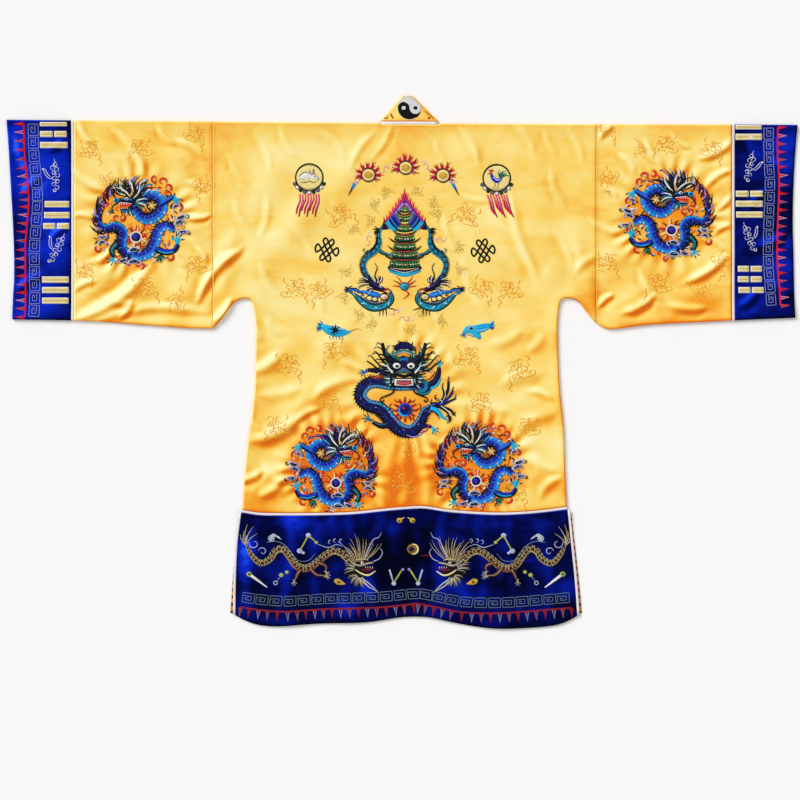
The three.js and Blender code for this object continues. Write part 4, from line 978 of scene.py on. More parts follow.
def pagoda(n):
    # flames of the canopy, its striped wings, then the tiers from the top down
    for side in (False, True):
        w = n.at(0, 0, 1, 0, side)
        for k in range(13):
            s = k / 12
            u, v = -0.6 - 17.8 * s, -61 + 25.5 * s
            tall = 5.2 + 1.8 * (k % 2)
            w.stroke([(u + 2.8, v + 4.6), (u + 0.2, v + 0.6), (u - 1.8, v - tall)], (3.4, 2.3, 0.4),
                     ("red", "magenta", "red")[k % 3], 2)
            w.stroke([(u + 1.2, v + 2.4), (u - 1, v - 1.4)], (1.2, 0.4), "crimson", 3)
        w.stroke([(0.5, -62), (-8, -50.6), (-18.6, -37.6)], (3, 3.4, 2.4), "magenta", 3)
        w.stroke([(0, -58.6), (-8, -48.6), (-17.6, -36.8)], (3.4, 3, 2.2), "purple", 4)
        w.stroke([(-1, -56), (-8, -46.8), (-12, -42)], (3, 3.2, 2), "violet", 5)
        w.stroke([(-2, -53), (-6, -47.4), (-9.6, -43)], (2, 2.4, 1.6), "steel", 6)
        for k, colour in enumerate(("cyan", "cyan", "navy", "blue", "navy", "royal", "steel")):
            w.stroke([(-18.4 + 1.5 * k, -37 - 1.5 * k), (-14.4 + 1.3 * k, -31.6 - 1.4 * k),
                      (-9.4 + 0.9 * k, -28.2 - 1.3 * k)],
                     (2, 2.2, 1.8), colour, 9)
    n.stroke([(0, -60), (0, -71)], (4.4, 0.5), "red", 4)
    n.stroke([(0, -58), (0, -66)], (2.8, 0.6), "magenta", 5)
    walls = ((-50, 5, 5.4), (-41.4, 6.4, 6.4), (-31.4, 7.8, 7), (-21.4, 9.6, 6.2), (-13.2, 10.8, 6),
             (-4.8, 12.2, 6.4), (4.2, 14.8, 8.4))
    for k, (v, half, tall) in enumerate(walls):
        n.stroke([(-half, v - 1.2), (-half * 0.5, v), (0, v + 0.4), (half * 0.5, v), (half, v - 1.2)],
                 (tall + 1.6,), "darkGreen", 4)
        count = 5 + 2 * (k // 2)
        for j in range(count):
            u = (j - (count - 1) / 2) * 2 * half / count
            sag = 0.4 - 1.6 * (u / half) ** 2
            n.stroke([(u, v - tall * 0.46 + sag), (u, v + tall * 0.46 + sag)], (2, 1.8),
                     ("leaf", "green", "leaf", "green")[j % 4], 5)
            n.disc(u + 0.8, v + sag + 0.8, 0.85,
                   ("white", "gold", "cream", "coral", "white")[(j + 2 * k) % 5], 6)
        n.arch(half, v - tall * 0.3 - 1.2, v - tall * 0.3 + 0.4, 0.5, 0.8, "olive", 6)
    for v, reach, bulk in ((-46, 7.6, 1.8), (-36, 9.2, 2), (-26, 11.6, 2.3), (-17.4, 14.4, 2.6),
                           (-9.2, 15.4, 2.8), (-0.8, 19.4, 3.2)):
        n.stroke([(-reach, v - 2.6), (-reach * 0.72, v - 0.2), (0, v + 1.7), (reach * 0.72, v - 0.2),
                  (reach, v - 2.6)],
                 (0.6, bulk * 0.9, bulk * 1.25, bulk * 0.9, 0.6), "black", 7)
        n.arch(reach * 0.66, v + 0.2, v + 1.7, 0.8, bulk * 0.62, "rust", 8)
        n.arch(reach * 0.4, v + 1, v + 1.8, 0.4, 0.8, "coral", 9)
        for side in (-1, 1):
            n.stroke([(side * reach * 0.8, v - 1), (side * (reach + 1.6), v - 4.4)], (1.6, 0.3), "black", 8)
    n.stroke([(-15, 7.2), (-14.6, 9.6), (0, 12.4), (14.6, 9.6), (15, 7.2)],
             (3, 3.6, 4.2, 3.6, 3), "navy", 7)
    n.arch(15.4, 10.6, 15.2, 4.2, 4.6, "cyan", 6)
    n.arch(14.4, 9.4, 13.2, 0.6, 0.8, "white", 8)


def climbingDragon(n):
    # hair at the top, a thin teal body that winds down to a head over a wide cyan scroll
    fan(n, -24, -31, -75, -15, 6, 11, 1.5, ("black", "navy"), 4)
    fan(n, -25, -28, 150, 225, 6, 7, 1.5, ("black",), 4)
    skin = ("black", "teal", ("navy", "teal", "cyan", "teal"), ("cyan", "steel", "teal"),
            ("black", "navy", "black"))
    path = [(-23, -33), (-25.5, -25), (-25, -17), (-29, -9), (-37, -3), (-41, 4), (-39, 13),
            (-33, 21), (-29, 26)]
    scaledBody(n, path, (1.8, 3.4, 4.8, 5.8, 5.8, 5.2, 4.8, 4.6, 4.2), skin, 4, pitch=1.5,
               spikeLong=2.6, glow=0.24)
    n.stroke([(-28, -12), (-22, -7), (-15, -5)], (4.6, 4.2, 2), "black", 4)
    n.stroke([(-28, -12), (-22, -7.4), (-16, -5.4)], (3.2, 2.8, 1.2), "teal", 5)
    claw(n, -15.4, -5.2, 25, 0.8, "teal")
    n.curl(-36, -7, 4.4, 30, 290, 2, "teal", 8)
    n.curl(-37, -7, 2.4, 30, 290, 1.1, "black", 9)
    n.curl(-40, -10, 2.2, 90, 220, 1, "leaf", 8)
    low = [(-57, 31), (-51, 34), (-44, 41), (-33, 47.6), (-20, 46), (-13, 39.4), (-15, 31.6)]
    n.stroke(low, (1.6, 4.6, 7.4, 8.4, 8.2, 6.8, 4), "black", 3)
    n.stroke(low, (1, 3.2, 6, 7, 6.8, 5.4, 2.8), "teal", 4)
    n.stroke([(-55, 31.6), (-49, 35.4), (-42, 42), (-32, 48), (-20, 46.4), (-14, 39)],
             (0.6, 1.7, 2.6, 3.2, 3, 1.7), "cyan", 5)
    bits = ("navy", "blue", "black", "white", "steel", "black")
    for k, (spot, way, across, share) in enumerate(along(low, 2.2)):
        lean = across * dice.uniform(-2.2, 2.2)
        n.stroke([spot - way * 1.6 + lean, spot + lean * 0.3, spot + way * 1.6 - lean * 0.5], (0.5, 1.1, 0.3),
                 bits[k % len(bits)], 6)
    for k, (spot, way, across, share) in enumerate(along(low, 4.2)):
        n.stroke([spot - across * 3.4, spot - across * 5.4 + way, spot - across * 6.6 + way * 2.6],
                 (1.2, 1, 0.3), ("black", "navy")[k % 2], 3)
    n.stroke([(-50, 33), (-42, 38), (-33, 43), (-22, 42.4)], (0.8, 1.4, 1.4, 0.7), "steel", 6)
    n.stroke([(-58, 29), (-49, 30), (-41, 34.6)], (2.2, 4, 1.4), "black", 4)
    n.stroke([(-56, 29.6), (-48, 30.6), (-42, 34)], (1.2, 2.6, 0.8), "blue", 5)
    fan(n, -56, 30, 150, 230, 5, 5, 1.2, ("navy", "black", "rust"), 4)
    n.stroke([(-44, 31), (-36, 33), (-28, 35), (-21, 37)], (1.5, 5.5, 6, 2), "blue", 5)
    n.stroke([(-42, 31.4), (-34, 33.4), (-26, 36)], (0.6, 1.6, 0.6), "cyan", 6)
    for u, v, r in ((-35, 38.4, 2.6), (-29.6, 39.4, 2.4), (-20.4, 37, 3.4)):
        n.disc(u, v, r + 0.9, "black", 6)
        n.disc(u, v, r, "straw", 7)
    n.disc(-20, 37.4, 1.6, "pink", 8)
    n.stroke([(-37, 20), (-29, 26.6), (-20, 30.4)], (4.6, 8.2, 4.6), "black", 8)
    n.stroke([(-34, 22), (-28, 26), (-21, 29.4)], (2, 3.4, 2), "navy", 9)
    n.stroke([(-31, 23.6), (-26, 27), (-22, 28.6)], (1, 1.4, 0.8), "purple", 10)
    fan(n, -32, 25, 165, 240, 9, 14, 1.2, ("black", "white", "black", "navy"), 8, 0.14)
    fan(n, -30, 28, 120, 180, 6, 9, 1.2, ("black", "white", "black"), 8, 0.1)
    fan(n, -27, 24, -125, -55, 7, 8, 1.4, ("black", "black", "white"), 8, 0.2)
    n.stroke([(-28, 22), (-29.6, 15), (-27.4, 8), (-30, 3)], (1.3, 1.2, 1, 0.4), "black", 7)
    n.disc(-23.6, 26.6, 1.4, "white", 11)
    n.disc(-23.4, 26.6, 0.7, "black", 12)
    n.stroke([(-22, 31), (-17, 29), (-13, 31.4)], (1.8, 1.8, 0.8), "crimson", 9)
    n.stroke([(-18, 33), (-13.6, 34)], (1.2, 0.6), "red", 9)
    for k in range(3):
        n.stroke([(-24.5 + 3 * k, 49), (-24.8 + 3.2 * k, 53), (-25.4 + 3.6 * k, 56)], (1.3, 1.1, 0.4),
                 ("rust", "black", "cord")[k], 5)
    n.stroke([(-17, 48), (-12, 49), (-8, 50.4)], (1.2, 1, 0.4), "cord", 5)


def smallPearl(n):
    n.disc(0, 0, 4.6, "black", 4)
    n.disc(0, 0, 4, "cyan", 5)
    n.disc(0.8, 0.6, 2.4, "teal", 6)
    for start in (200, -20):
        for turn in (-26, 0, 26):
            a, colour = math.radians(start + turn), {-26: "red", 0: "crimson", 26: "flame"}[turn]
            n.stroke([polar(a, 4), polar(a, 8) + (0.8, -1.2), polar(a, 12) + (0, -2)],
                     (1.7, 1.4, 0.5), colour, 4)
    n.stroke([(1, 4), (4, 7.4), (1, 11), (-2, 12.4)], (1.6, 1.5, 1, 0.4), "red", 4)
    n.stroke([(4, 6), (6, 9)], (1, 0.4), "flame", 4)


def swirl(n):
    n.curl(0, 0, 3.6, 120, 300, 1.1, "pink", 2)
    n.curl(3.8, -2.8, 2.6, 180, 260, 0.9, "white", 2)
    n.stroke([(-2.8, 3), (-6.4, 3.8), (-9, 1.8)], (0.9, 0.8, 0.3), "pink", 2)


def flyingBird(n):
    # a small duck in flight that looks to the left
    n.stroke([(-14, 3.6), (-8, 0), (-2, 1), (2, 4)], (2.2, 7.6, 9.4, 7), "cyan", 4)
    n.stroke([(-2, 0), (6, -1.6), (13, -4)], (8.6, 9, 5.6), "cyan", 4)
    n.stroke([(-2, 3), (2, 6.6), (3, 9.4)], (8, 6.6, 3.4), "cyan", 4)
    fan(n, 11, -3.6, -44, 34, 7, 7.4, 1.7, ("cyan", "blue", "navy"), 4, 0.1, 1)
    fan(n, -12, 4, 60, 150, 5, 5.4, 0.9, ("blue", "steel", "rust"), 3)
    for v in (-3.6, -1.2, 1):
        n.stroke([(0, v + 0.6), (6, v - 0.4), (12, v - 2.2)], (0.5, 1, 0.5),
                 ("blue", "silver", "blue")[int(v) % 3], 5)
    n.stroke([(-12, 4.6), (-7, 5.4), (-3, 7.6)], (0.5, 1, 0.5), "blue", 5)
    n.disc(-5.4, -1.2, 2.6, "lilac", 6)
    n.disc(-5.4, -1.2, 1.8, "black", 7)


def flyingFish(n):
    n.stroke([(-13, -4), (-6, 0.4), (3, 2.4), (10, 3.2), (16.4, 2.2)], (4, 9.4, 11.4, 8, 1.2), "cyan", 4)
    for v in (-2.8, 0.4, 3.4):
        n.stroke([(-8, v - 2), (2, v + 1.2), (11, v * 0.5 + 1.6)], (0.6, 1.4, 0.6),
                 ("blue", "silver", "blue")[int(v) % 3], 5)
    fan(n, -11, -2, 135, 240, 8, 7.4, 1.6, ("cyan", "blue", "navy"), 4, 0.1, 1)
    fan(n, 0.5, 0.8, 0, 315, 8, 6, 2, ("black",), 6, 0.1)
    n.disc(0.5, 0.8, 2.2, "black", 7)
    for k in range(5):
        n.stroke([(-5 + 3.2 * k, 7), (-4 + 3.2 * k, 10.2)], (1.1, 0.4), ("blue", "cord")[k % 2], 4)
    n.stroke([(15, 2.2), (22, -0.4), (27, 0.6)], (0.9, 0.7, 0.3), "honey", 4)


def lineOrnament(n):
    # an endless knot in black cord: two sets of three lines, joined by loops
    def laid(*spots):
        return [((p + q) * 0.66, (p - q) * 0.9) for p, q in spots]

    for turned in (False, True):
        for end in (-1, 1):
            bend = [(-4.6 * end, 7 * end), (-4.2 * end, 9 * end), (-2.3 * end, 10 * end),
                    (-0.4 * end, 9 * end), (0, 7 * end)]
            n.stroke(laid(*[(q, p) if turned else (p, q) for p, q in bend]), (2,), "black", 3)
        for k in (-4.6, 0, 4.6):
            ends = [(k, -7), (k, 0), (k, 7)]
            n.stroke(laid(*[(q, p) if turned else (p, q) for p, q in ends]), (2,), "black", 3)
    for end in (-1, 1):
        n.stroke(laid(*[(p * end, q * end)
                        for p, q in ((4.6, 7), (5.6, 10.4), (9.4, 9.4), (10.4, 5.6), (7, 4.6))]),
                 (2,), "black", 3)


def brush(n):
    n.stroke([(0, 0), (-2.6, 4), (-3.6, 6)], (3.4, 3, 1.8), "blue", 4)
    n.stroke([(0.4, 0.6), (-1.6, 4)], (1.4, 0.8), "cyan", 5)
    n.stroke([(-3, 5.4), (-6.6, 11.6)], (1.8, 0.6), "black", 4)
    n.stroke([(0.4, -0.6), (3.2, -2.2)], (2.6, 1.4), "lilac", 4)
    swirl(n.at(2.6, -4.6, 0.9))


def outlineCloud(n, colours=("tan", "amber")):
    # a bank of scrolls drawn with one fine line, in a thread close to the cloth's own colour
    a, b = colours
    for k, (u, v, r, start, way) in enumerate((
            (-9, -3, 2.7, 30, 1), (-4.6, -6.4, 3, 150, -1), (0.6, -8.4, 3.2, 200, 1),
            (5.6, -6, 2.8, 20, -1), (9.8, -2.4, 2.6, 160, 1), (-6, 1.4, 2.6, 250, -1),
            (-0.6, -2.6, 3, 60, 1), (4.6, -0.6, 2.6, 300, -1), (-2, 4.4, 2.4, 120, 1),
            (2.8, 6.6, 2.2, 10, -1), (8.6, 3.4, 2.2, 210, 1), (-9.6, 5.2, 2, 100, -1))):
        n.curl(u + dice.uniform(-0.8, 0.8), v + dice.uniform(-0.8, 0.8), r * dice.uniform(0.85, 1.25),
               start + dice.uniform(-40, 40), dice.uniform(240, 350) * way, 1.25, (a, b)[k % 2], 1)
    for line, colour in (([(-12, 3), (-15.4, 6.6), (-11, 9.4), (-4, 8.4), (2, 10)], a),
                         ([(11.4, 0.6), (15, 4.6), (13, 8.6), (17.4, 12), (16, 15.6)], b),
                         ([(-11, -6.4), (-14.4, -9), (-13, -12.4)], b),
                         ([(2, -11.6), (5, -13.4), (8.6, -11)], a),
                         ([(-7, -9), (-3, -11.6), (0, -5), (4, -3.4), (8, -6)], b),
                         ([(-8, 5), (-4, 1.6), (1, 2), (6, 3), (10, 6.6)], a)):
        line = [(u + dice.uniform(-1, 1), v + dice.uniform(-1, 1)) for u, v in line]
        n.stroke(line, (0.6, 1.25, 1.25, 0.5), colour, 1)


def silverCloud(n):
    # the loose cloud of small loops between two groups of bars
    for k, (u, v, r) in enumerate(((1.4, -12.4, 1.9), (-1.6, -9.2, 2), (2.6, -7.4, 2.1), (-0.4, -4.2, 1.8),
                                   (3.6, -1.6, 2.1), (0, 1.4, 1.9), (3.4, 4.6, 1.9), (-0.4, 7.4, 1.8),
                                   (3, 10.6, 2), (0.6, 13.4, 1.5))):
        n.curl(u, v, r, 70 * k, 330, 0.95, ("white", "lilac", "silver")[k % 3], 2, 0.9)
    n.stroke([(0.8, -14), (0.2, -18)], (1.2, 0.5), "lilac", 2)
    n.stroke([(-0.6, 1), (-5, 1.6), (-8.6, -2), (-10.6, -7)], (0.6, 1.1, 1, 0.9), "lilac", 2)
    n.stroke([(-3, 0.6), (-6, -2.4), (-9, -7.6)], (0.4, 0.8, 0.5), "white", 2)
    n.disc(-10.8, -7.6, 1.1, "white", 3)


def goldBar(n, u1, u2, v, tall, broken):
    # a cream bar with a light rim and one fine wavy line
    gap = 1.3
    middle = (u1 + u2) / 2
    for a, b in ([(u1, middle - gap), (middle + gap, u2)] if broken else [(u1, u2)]):
        n.stroke([(a - 0.5, v), (b + 0.5, v)], (tall + 1.4,), "white", 1, straight=True)
        rows = 4
        for k in range(rows):
            y = v - tall / 2 + tall * (k + 0.5) / rows
            n.stroke([(a, y), ((a + b) / 2, y), (b, y)], (tall / rows * 1.2,),
                     ("cream", "bar", "bar", "cream")[k], 2, straight=True)
        count = max(4, int((b - a) / 1.3))
        n.stroke([(a + 1 + (b - a - 2) * k / count, v + 0.55 * (-1) ** k) for k in range(count + 1)],
                 (0.6,), "olive", 3)


fretUnit = [(0, 0.2), (0, 0), (1, 0), (1, 1), (0, 1), (0, 0.3), (0.74, 0.3), (0.74, 0.72),
            (0.24, 0.72), (0.24, 0.52), (0.5, 0.52)]


def borders(n, path, side, unit, tall, redAt, spikeLong, silver, reds, spikes):
    # fret, line and spikes that follow an edge; side says which way is outwards
    spots = along(path, unit)
    for (a, way, across, share), (b, *_) in zip(spots, spots[1:]):
        step = b - a
        n.stroke([a + step * (0.04 + x * 0.86) + across * side * tall * y for x, y in fretUnit], (0.75,),
                 silver, 2, straight=True)
    line = [spot + across * side * redAt for spot, way, across, share in along(path, 4)]
    n.stroke(line, (1.8,), reds[0], 3)
    n.stroke([p + 0.5 * spots[0][2] * side for p in line], (0.7,), reds[1], 4)
    for k, (spot, way, across, share) in enumerate(along(path, 2 * unit / 3)):
        out = across * side
        root = spot + out * (redAt + 0.6)
        n.stroke([root, root + out * spikeLong * 0.36, root + out * spikeLong * 0.72], (2.6, 1.6, 0.4),
                 reds[k % 2], 2)
        for lean in (-1, 1):
            n.stroke([root + way * 1.7 * lean, root + way * 0.7 * lean + out * spikeLong * 0.5,
                      root + out * spikeLong],
                     (0.8, 0.6, 0.4), spikes[k % len(spikes)], 3)


def hemDragon(n):
    # looks to the right; body from the tail to the neck
    path = [(-52, 8), (-47.5, 18), (-38, 27), (-28, 23), (-22.6, 15), (-16, 13), (-10, 18.6), (-3, 28.4),
            (6, 32.4), (14.6, 29.4), (25.4, 20.6), (35, 15), (44, 18), (50, 25)]
    skin = ("black", "cord", ("cord", "sand", "black", "rust", "sand"), ("sand", "bone", "sand"),
            ("bone", "black", "olive"))
    scaledBody(n, path, (1.6, 3.6, 5, 5.6, 5.8, 6.2, 6.6, 6.8, 6.6, 6.4, 6.2, 6.4, 6, 5), skin, 3, pitch=1.5,
               spikes=-1, spikeLong=1.6)
    n.stroke([(p[0], p[1] - 2.2) for p in path[1:13]], 0.7, "bone", 7)
    n.stroke([(p[0], p[1] + 2.2) for p in path[5:12]], (0.6, 1.1, 1.5, 1.1, 0.6), "rust", 7)
    for u, v in ((-45, -10), (-54, -6), (-41, -3), (-56, 2), (-51, -12), (-48, -5), (-58, -2)):
        n.stroke([(-52, 9), ((u - 52) / 2 - 2, v / 2 + 4), (u, v)], (1.1, 1, 0.4),
                 ("silver", "bone", "bone", "olive")[abs(u) % 4], 4)
    n.curl(-44, 7, 5.4, 200, -300, 0.9, "lilac", 3)
    n.curl(-35.6, 15, 4.4, 190, 330, 0.9, "lilac", 3)
    n.stroke([(-32, 6), (-22, 5), (-13, 9), (-6, 17), (0, 24), (10, 24), (17, 17)],
             (0.6, 0.9, 0.9, 0.9, 0.8, 0.8, 0.4), "pewter", 3)
    n.stroke([(20, 8), (30, 11), (38, 8), (44, 10)], (0.5, 0.9, 0.8, 0.4), "silver", 3)
    for u, v in ((32, 5), (37, 3.6), (43, 4)):
        n.curl(u, v, 2.6, 90, 220, 0.8, "silver", 3)
    # legs
    for points, foot, turn in (([(2, 33), (-1, 38), (-3, 43)], (-4, 45), 100),
                               ([(20, 26), (27, 29), (28, 34)], (28, 36), 60),
                               ([(12, 32), (18, 38), (26, 39)], (28, 40), 15)):
        n.stroke(points, (5.4, 4.2, 2.6), "cord", 7)
        n.stroke(points, (3, 2.2, 1.2), "rust", 8)
        n.stroke(points, (1, 0.8, 0.5), "bone", 9)
        claw(n, *foot, turn, 0.66, "bone", ("silver", "cream"))
    # mane, horn and open jaws on a dark ground
    n.stroke([(48, 30), (58, 32), (70, 30)], (16, 26, 14), "black", 3)
    fan(n, 62, 30, -132, -48, 17, 31, 0.8, ("silver", "sand", "cord", "bone", "sand", "cord"), 4, 0.05, 9)
    fan(n, 60, 30, -150, -60, 19, 21, 1, ("sand", "black", "bone", "rust"), 5, 0.09, 5)
    fan(n, 60, 32, 160, 235, 12, 16, 0.9, ("sand", "cord", "silver"), 4, 0.08, 4)
    fan(n, 62, 38, 50, 170, 17, 13, 0.9, ("sand", "silver", "cord", "bone"), 4, 0.08, 3)
    n.stroke([(55, 27), (61, 29), (69, 27), (75, 26)], (1.4, 2.6, 2.2, 1.6), "bone", 6)
    n.stroke([(57, 33), (63, 37), (70, 38.6), (77, 34.6)], (1.2, 2, 2, 1), "cream", 6)
    n.stroke([(63, 33), (70, 33.6), (76, 31)], (1.2, 2, 0.9), "crimson", 6)
    n.disc(64, 26.6, 1.6, "white", 7)
    n.disc(64.4, 26.6, 0.9, "black", 8)
    n.stroke([(58, 23), (64, 22.4), (70, 23.6)], (0.5, 1, 0.5), "cream", 7)
    n.stroke([(75, 25), (81, 22), (84, 16), (82, 12)], (0.9, 0.9, 0.8, 0.4), "lilac", 5)
    n.stroke([(66, 22), (70, 12), (75, 3), (80, 1), (83, -4)], (1.2, 1.1, 0.9, 0.8, 0.4), "lilac", 5)
    n.stroke([(64, 42), (72, 48), (80, 56)], (1.4, 1.3, 0.5), "silver", 5)
    n.stroke([(60, 42), (70, 50), (79, 55)], (0.8, 0.9, 0.4), "cream", 5)
    for k in range(4):
        n.stroke([(67 + 2.3 * k, 30), (67.2 + 2.3 * k, 32)], (0.8, 0.3), "white", 8)


def emblems(n):
    # the small lucky things that float round the hem dragon
    n.stroke([(-28, 4), (-25, -1), (-21, 0)], (3, 4.6, 1.4), "silver", 3)
    n.ring(-27, 2, 2.8, 1.1, "silver", 4)
    n.stroke([(-21, 0), (-17, 3)], (1.8, 0.4), "white", 4)
    n.disc(10, -1, 2.6, "lilac", 3)
    n.disc(1.4, 14.4, 2.8, "lilac", 3)
    n.disc(5, 16.4, 1.6, "lilac", 3)
    n.stroke([(10, -1), (4, 10), (1.4, 14)], (1.5, 1.5, 1.5), "lime", 4)
    n.stroke([(10, -1), (17, 5)], (1.5, 1.8), "lime", 4)
    n.disc(18, 6, 1.8, "lime", 4)
    n.disc(-49, 37.6, 2.8, "lime", 3)
    n.disc(-49, 37.4, 1.2, "darkGreen", 5)
    n.stroke([(-47, 39), (-42, 42.6), (-31, 51)], (3.2, 2.4, 1), "white", 4)
    n.disc(-11.4, 35.6, 1.9, "lime", 3)
    n.disc(-17, 38.6, 2.3, "lime", 3)
    n.stroke([(-17, 38.6), (-22, 45.4)], (1.4, 1.4), "steel", 3)
    n.ring(-22.8, 46.4, 1.9, 1, "silver", 4)
    n.stroke([(36, 44), (42, 46), (47, 47.4)], (3.4, 5.4, 0.8), "gold", 3)
    n.disc(40.4, 45.6, 1.6, "rust", 5)
    n.ring(39.6, 45, 2.7, 0.8, "lime", 5)
    n.disc(101, -16, 2.8, "gold", 3)
    n.disc(100.4, -15.4, 1.3, "green", 5)
    n.stroke([(103, -17.4), (106, -19)], (1.4, 0.5), "cream", 4)
    n.stroke([(91, 33), (95, 46)], (1.8, 1.8), "silver", 3)
    n.stroke([(95.6, 46), (103, 34)], (1.8, 1.6), "lime", 3)
    n.disc(95.4, 47, 2.3, "silver", 4)
    n.disc(104.4, 33, 1.5, "violet", 4)


# what is sewn where
work = {name: [] for name in (
    "roundel_sleeve_left", "roundel_sleeve_right", "roundel_lower_left", "roundel_lower_right",
    "dragon_centre", "pagoda_group", "signs_back", "clouds_back", "clouds_sleeve_left", "clouds_sleeve_right",
    "borders_cuff_left", "borders_cuff_right", "hem_dragon_left", "hem_dragon_right", "borders_hem",
    "taiji_collar")}

for side, mirror in (("left", True), ("right", False)):
    column, row, radius = roundels[side]
    roundel(Needle(work["roundel_sleeve_" + side], column, row, radius / 45.5, 0, mirror), True)
    column, row, radius = roundels["lower" + side.capitalize()]
    roundel(Needle(work["roundel_lower_" + side], column, row, radius / 45.5, 0, not mirror))
frontDragon(Needle(work["dragon_centre"], 404.5, 391))
pagoda(Needle(work["pagoda_group"], 404.6, 259.5))
for mirror in (False, True):
    climbingDragon(Needle(work["pagoda_group"], 404.6, 260, 1, 0, mirror))
signs = work["signs_back"]
smallPearl(Needle(signs, 404.5, 286.6))
for column, row in ((368.4, 175.2), (405.6, 168), (442.8, 175.8)):
    pearlInRays(Needle(signs, column, row))
tasselDisc(Needle(signs, 309.4, 177.7), -4, hare)
tasselDisc(Needle(signs, 496.6, 178.5), 7, rooster)
brush(Needle(signs, 355, 184))
brush(Needle(signs, 452.4, 184, 1, 0, True))
for column, row, turn, mirror in ((387, 169, 0, False), (425, 166, 0.3, True), (369.6, 238, -0.9, False),
                                  (438.6, 241, -0.7, True), (397, 312, 0.2, False), (407, 318, 2.6, True)):
    swirl(Needle(signs, column, row, 1, turn, mirror))
flyingFish(Needle(signs, 334.5, 329.4))
flyingBird(Needle(signs, 476.5, 329.6))
lineOrnament(Needle(signs, 327, 250, 0.95, 0.2))
lineOrnament(Needle(signs, 483, 251, 0.95, -0.14))

# scrolled clouds in the cloth's own colours: column, row, size, turn in degrees
cloudPlaces = {
    "clouds_sleeve_left": ((90, 151, 0.8, 10), (140, 149, 0.75, -8), (196, 136, 0.75, 30),
                           (203, 187, 0.75, -40), (84, 272, 0.8, 20), (198, 266, 0.85, -16),
                           (145, 289, 0.9, 4), (176, 300, 0.7, 150), (108, 182, 0.6, 70)),
    "clouds_sleeve_right": ((606, 131, 0.75, 20), (665, 146, 0.8, -6), (712, 151, 0.8, 24),
                            (608, 180, 0.75, -60), (607, 264, 0.85, 14), (657, 285, 0.9, -10),
                            (721, 264, 0.75, 60), (640, 150, 0.55, 100), (700, 290, 0.7, 170)),
    "clouds_back": ((341, 216, 0.9, -18), (466, 216, 0.9, 18), (295, 290, 0.85, 8), (320, 292, 0.8, -30),
                    (482, 290, 0.85, 30), (510, 292, 0.85, -14), (288, 366, 0.95, 12), (334, 352, 0.85, -20),
                    (330, 402, 0.75, 6), (277, 427, 0.85, -12), (468, 358, 0.9, 16), (520, 371, 0.95, -24),
                    (480, 404, 0.9, 10), (527, 428, 0.8, -8), (516, 494, 0.85, 20), (402, 484, 0.9, 0),
                    (408, 448, 0.7, 60)),
}
for name, places in cloudPlaces.items():
    for number, (column, row, size, turn) in enumerate(places):
        outlineCloud(Needle(work[name], column, row, size, math.radians(turn), number % 2 == 1))

for number, (column, row) in enumerate(((354, 230), (344, 298), (359, 315), (372, 324), (411, 330),
                                        (422, 313), (442, 321), (375, 205), (386, 193), (417, 192),
                                        (436, 214), (370, 221), (459, 248), (346, 272), (461, 270),
                                        (434, 203))):
    outlineCloud(Needle(work["clouds_back"], column, row, 0.42, number * 0.7, number % 2 == 1),
                 ("olive", "gold"))

# cuffs: groups of bars between loose clouds, then fret, line and spikes towards the mouth
cuffs = {
    "left": {"side": 1, "unit": 12.2, "tall": 10, "redAt": 14, "spikes": 9.4,
             "edge": [(38.6, 124), (39, 150), (41.6, 176), (43.2, 200), (41.8, 222), (40, 245), (39.8, 270),
                      (40.2, 295), (39.4, 318)],
             "bars": [(41, 67, 124.6, 3, 0), (41, 66.6, 134.4, 5, 1), (41, 67.4, 145.3, 5.2, 0),
                      (45.6, 69, 204.4, 5.4, 0), (45, 69.4, 215.4, 5.4, 0), (44, 69, 226.2, 5, 1),
                      (43, 68.6, 279.8, 5.4, 0), (43, 68.6, 290.2, 5.2, 0), (43, 68.4, 300.8, 5.2, 0)],
             "clouds": [(54.4, 177, 1, 0), (55.8, 249, 1, 30)]},
    "right": {"side": -1, "unit": 12.2, "tall": 9.4, "redAt": 13.8, "spikes": 8.6,
              "edge": [(763.4, 128), (763.6, 160), (765, 182), (764, 212), (763, 240), (763.2, 264),
                       (765.2, 290), (766.4, 307)],
              "bars": [(735.6, 760.6, 127.6, 3.4, 0), (735.6, 761, 137.2, 5.2, 0), (736, 762, 194, 5.2, 1),
                       (736, 762, 204, 5.2, 0), (736.4, 762, 214.8, 5.2, 0), (738, 761, 269, 5, 1),
                       (738, 761, 279.4, 5, 1), (738.6, 763, 290.2, 5, 1)],
              "clouds": [(750.4, 168, 0.95, 10), (750.4, 238, 0.95, -24)]},
}
for name, c in cuffs.items():
    strokes = work["borders_cuff_" + name]
    needle = Needle(strokes, 0, 0)
    borders(needle, c["edge"], c["side"], c["unit"], c["tall"], c["redAt"], c["spikes"], "haze",
            ("red", "magenta"), ("red", "pink", "coral", "red", "dimPink"))
    for u1, u2, row, tall, broken in c["bars"]:
        goldBar(needle, u1, u2, row, tall, broken)
    for column, row, size, turn in c["clouds"]:
        silverCloud(Needle(strokes, column, row, size, math.radians(turn), name == "right"))

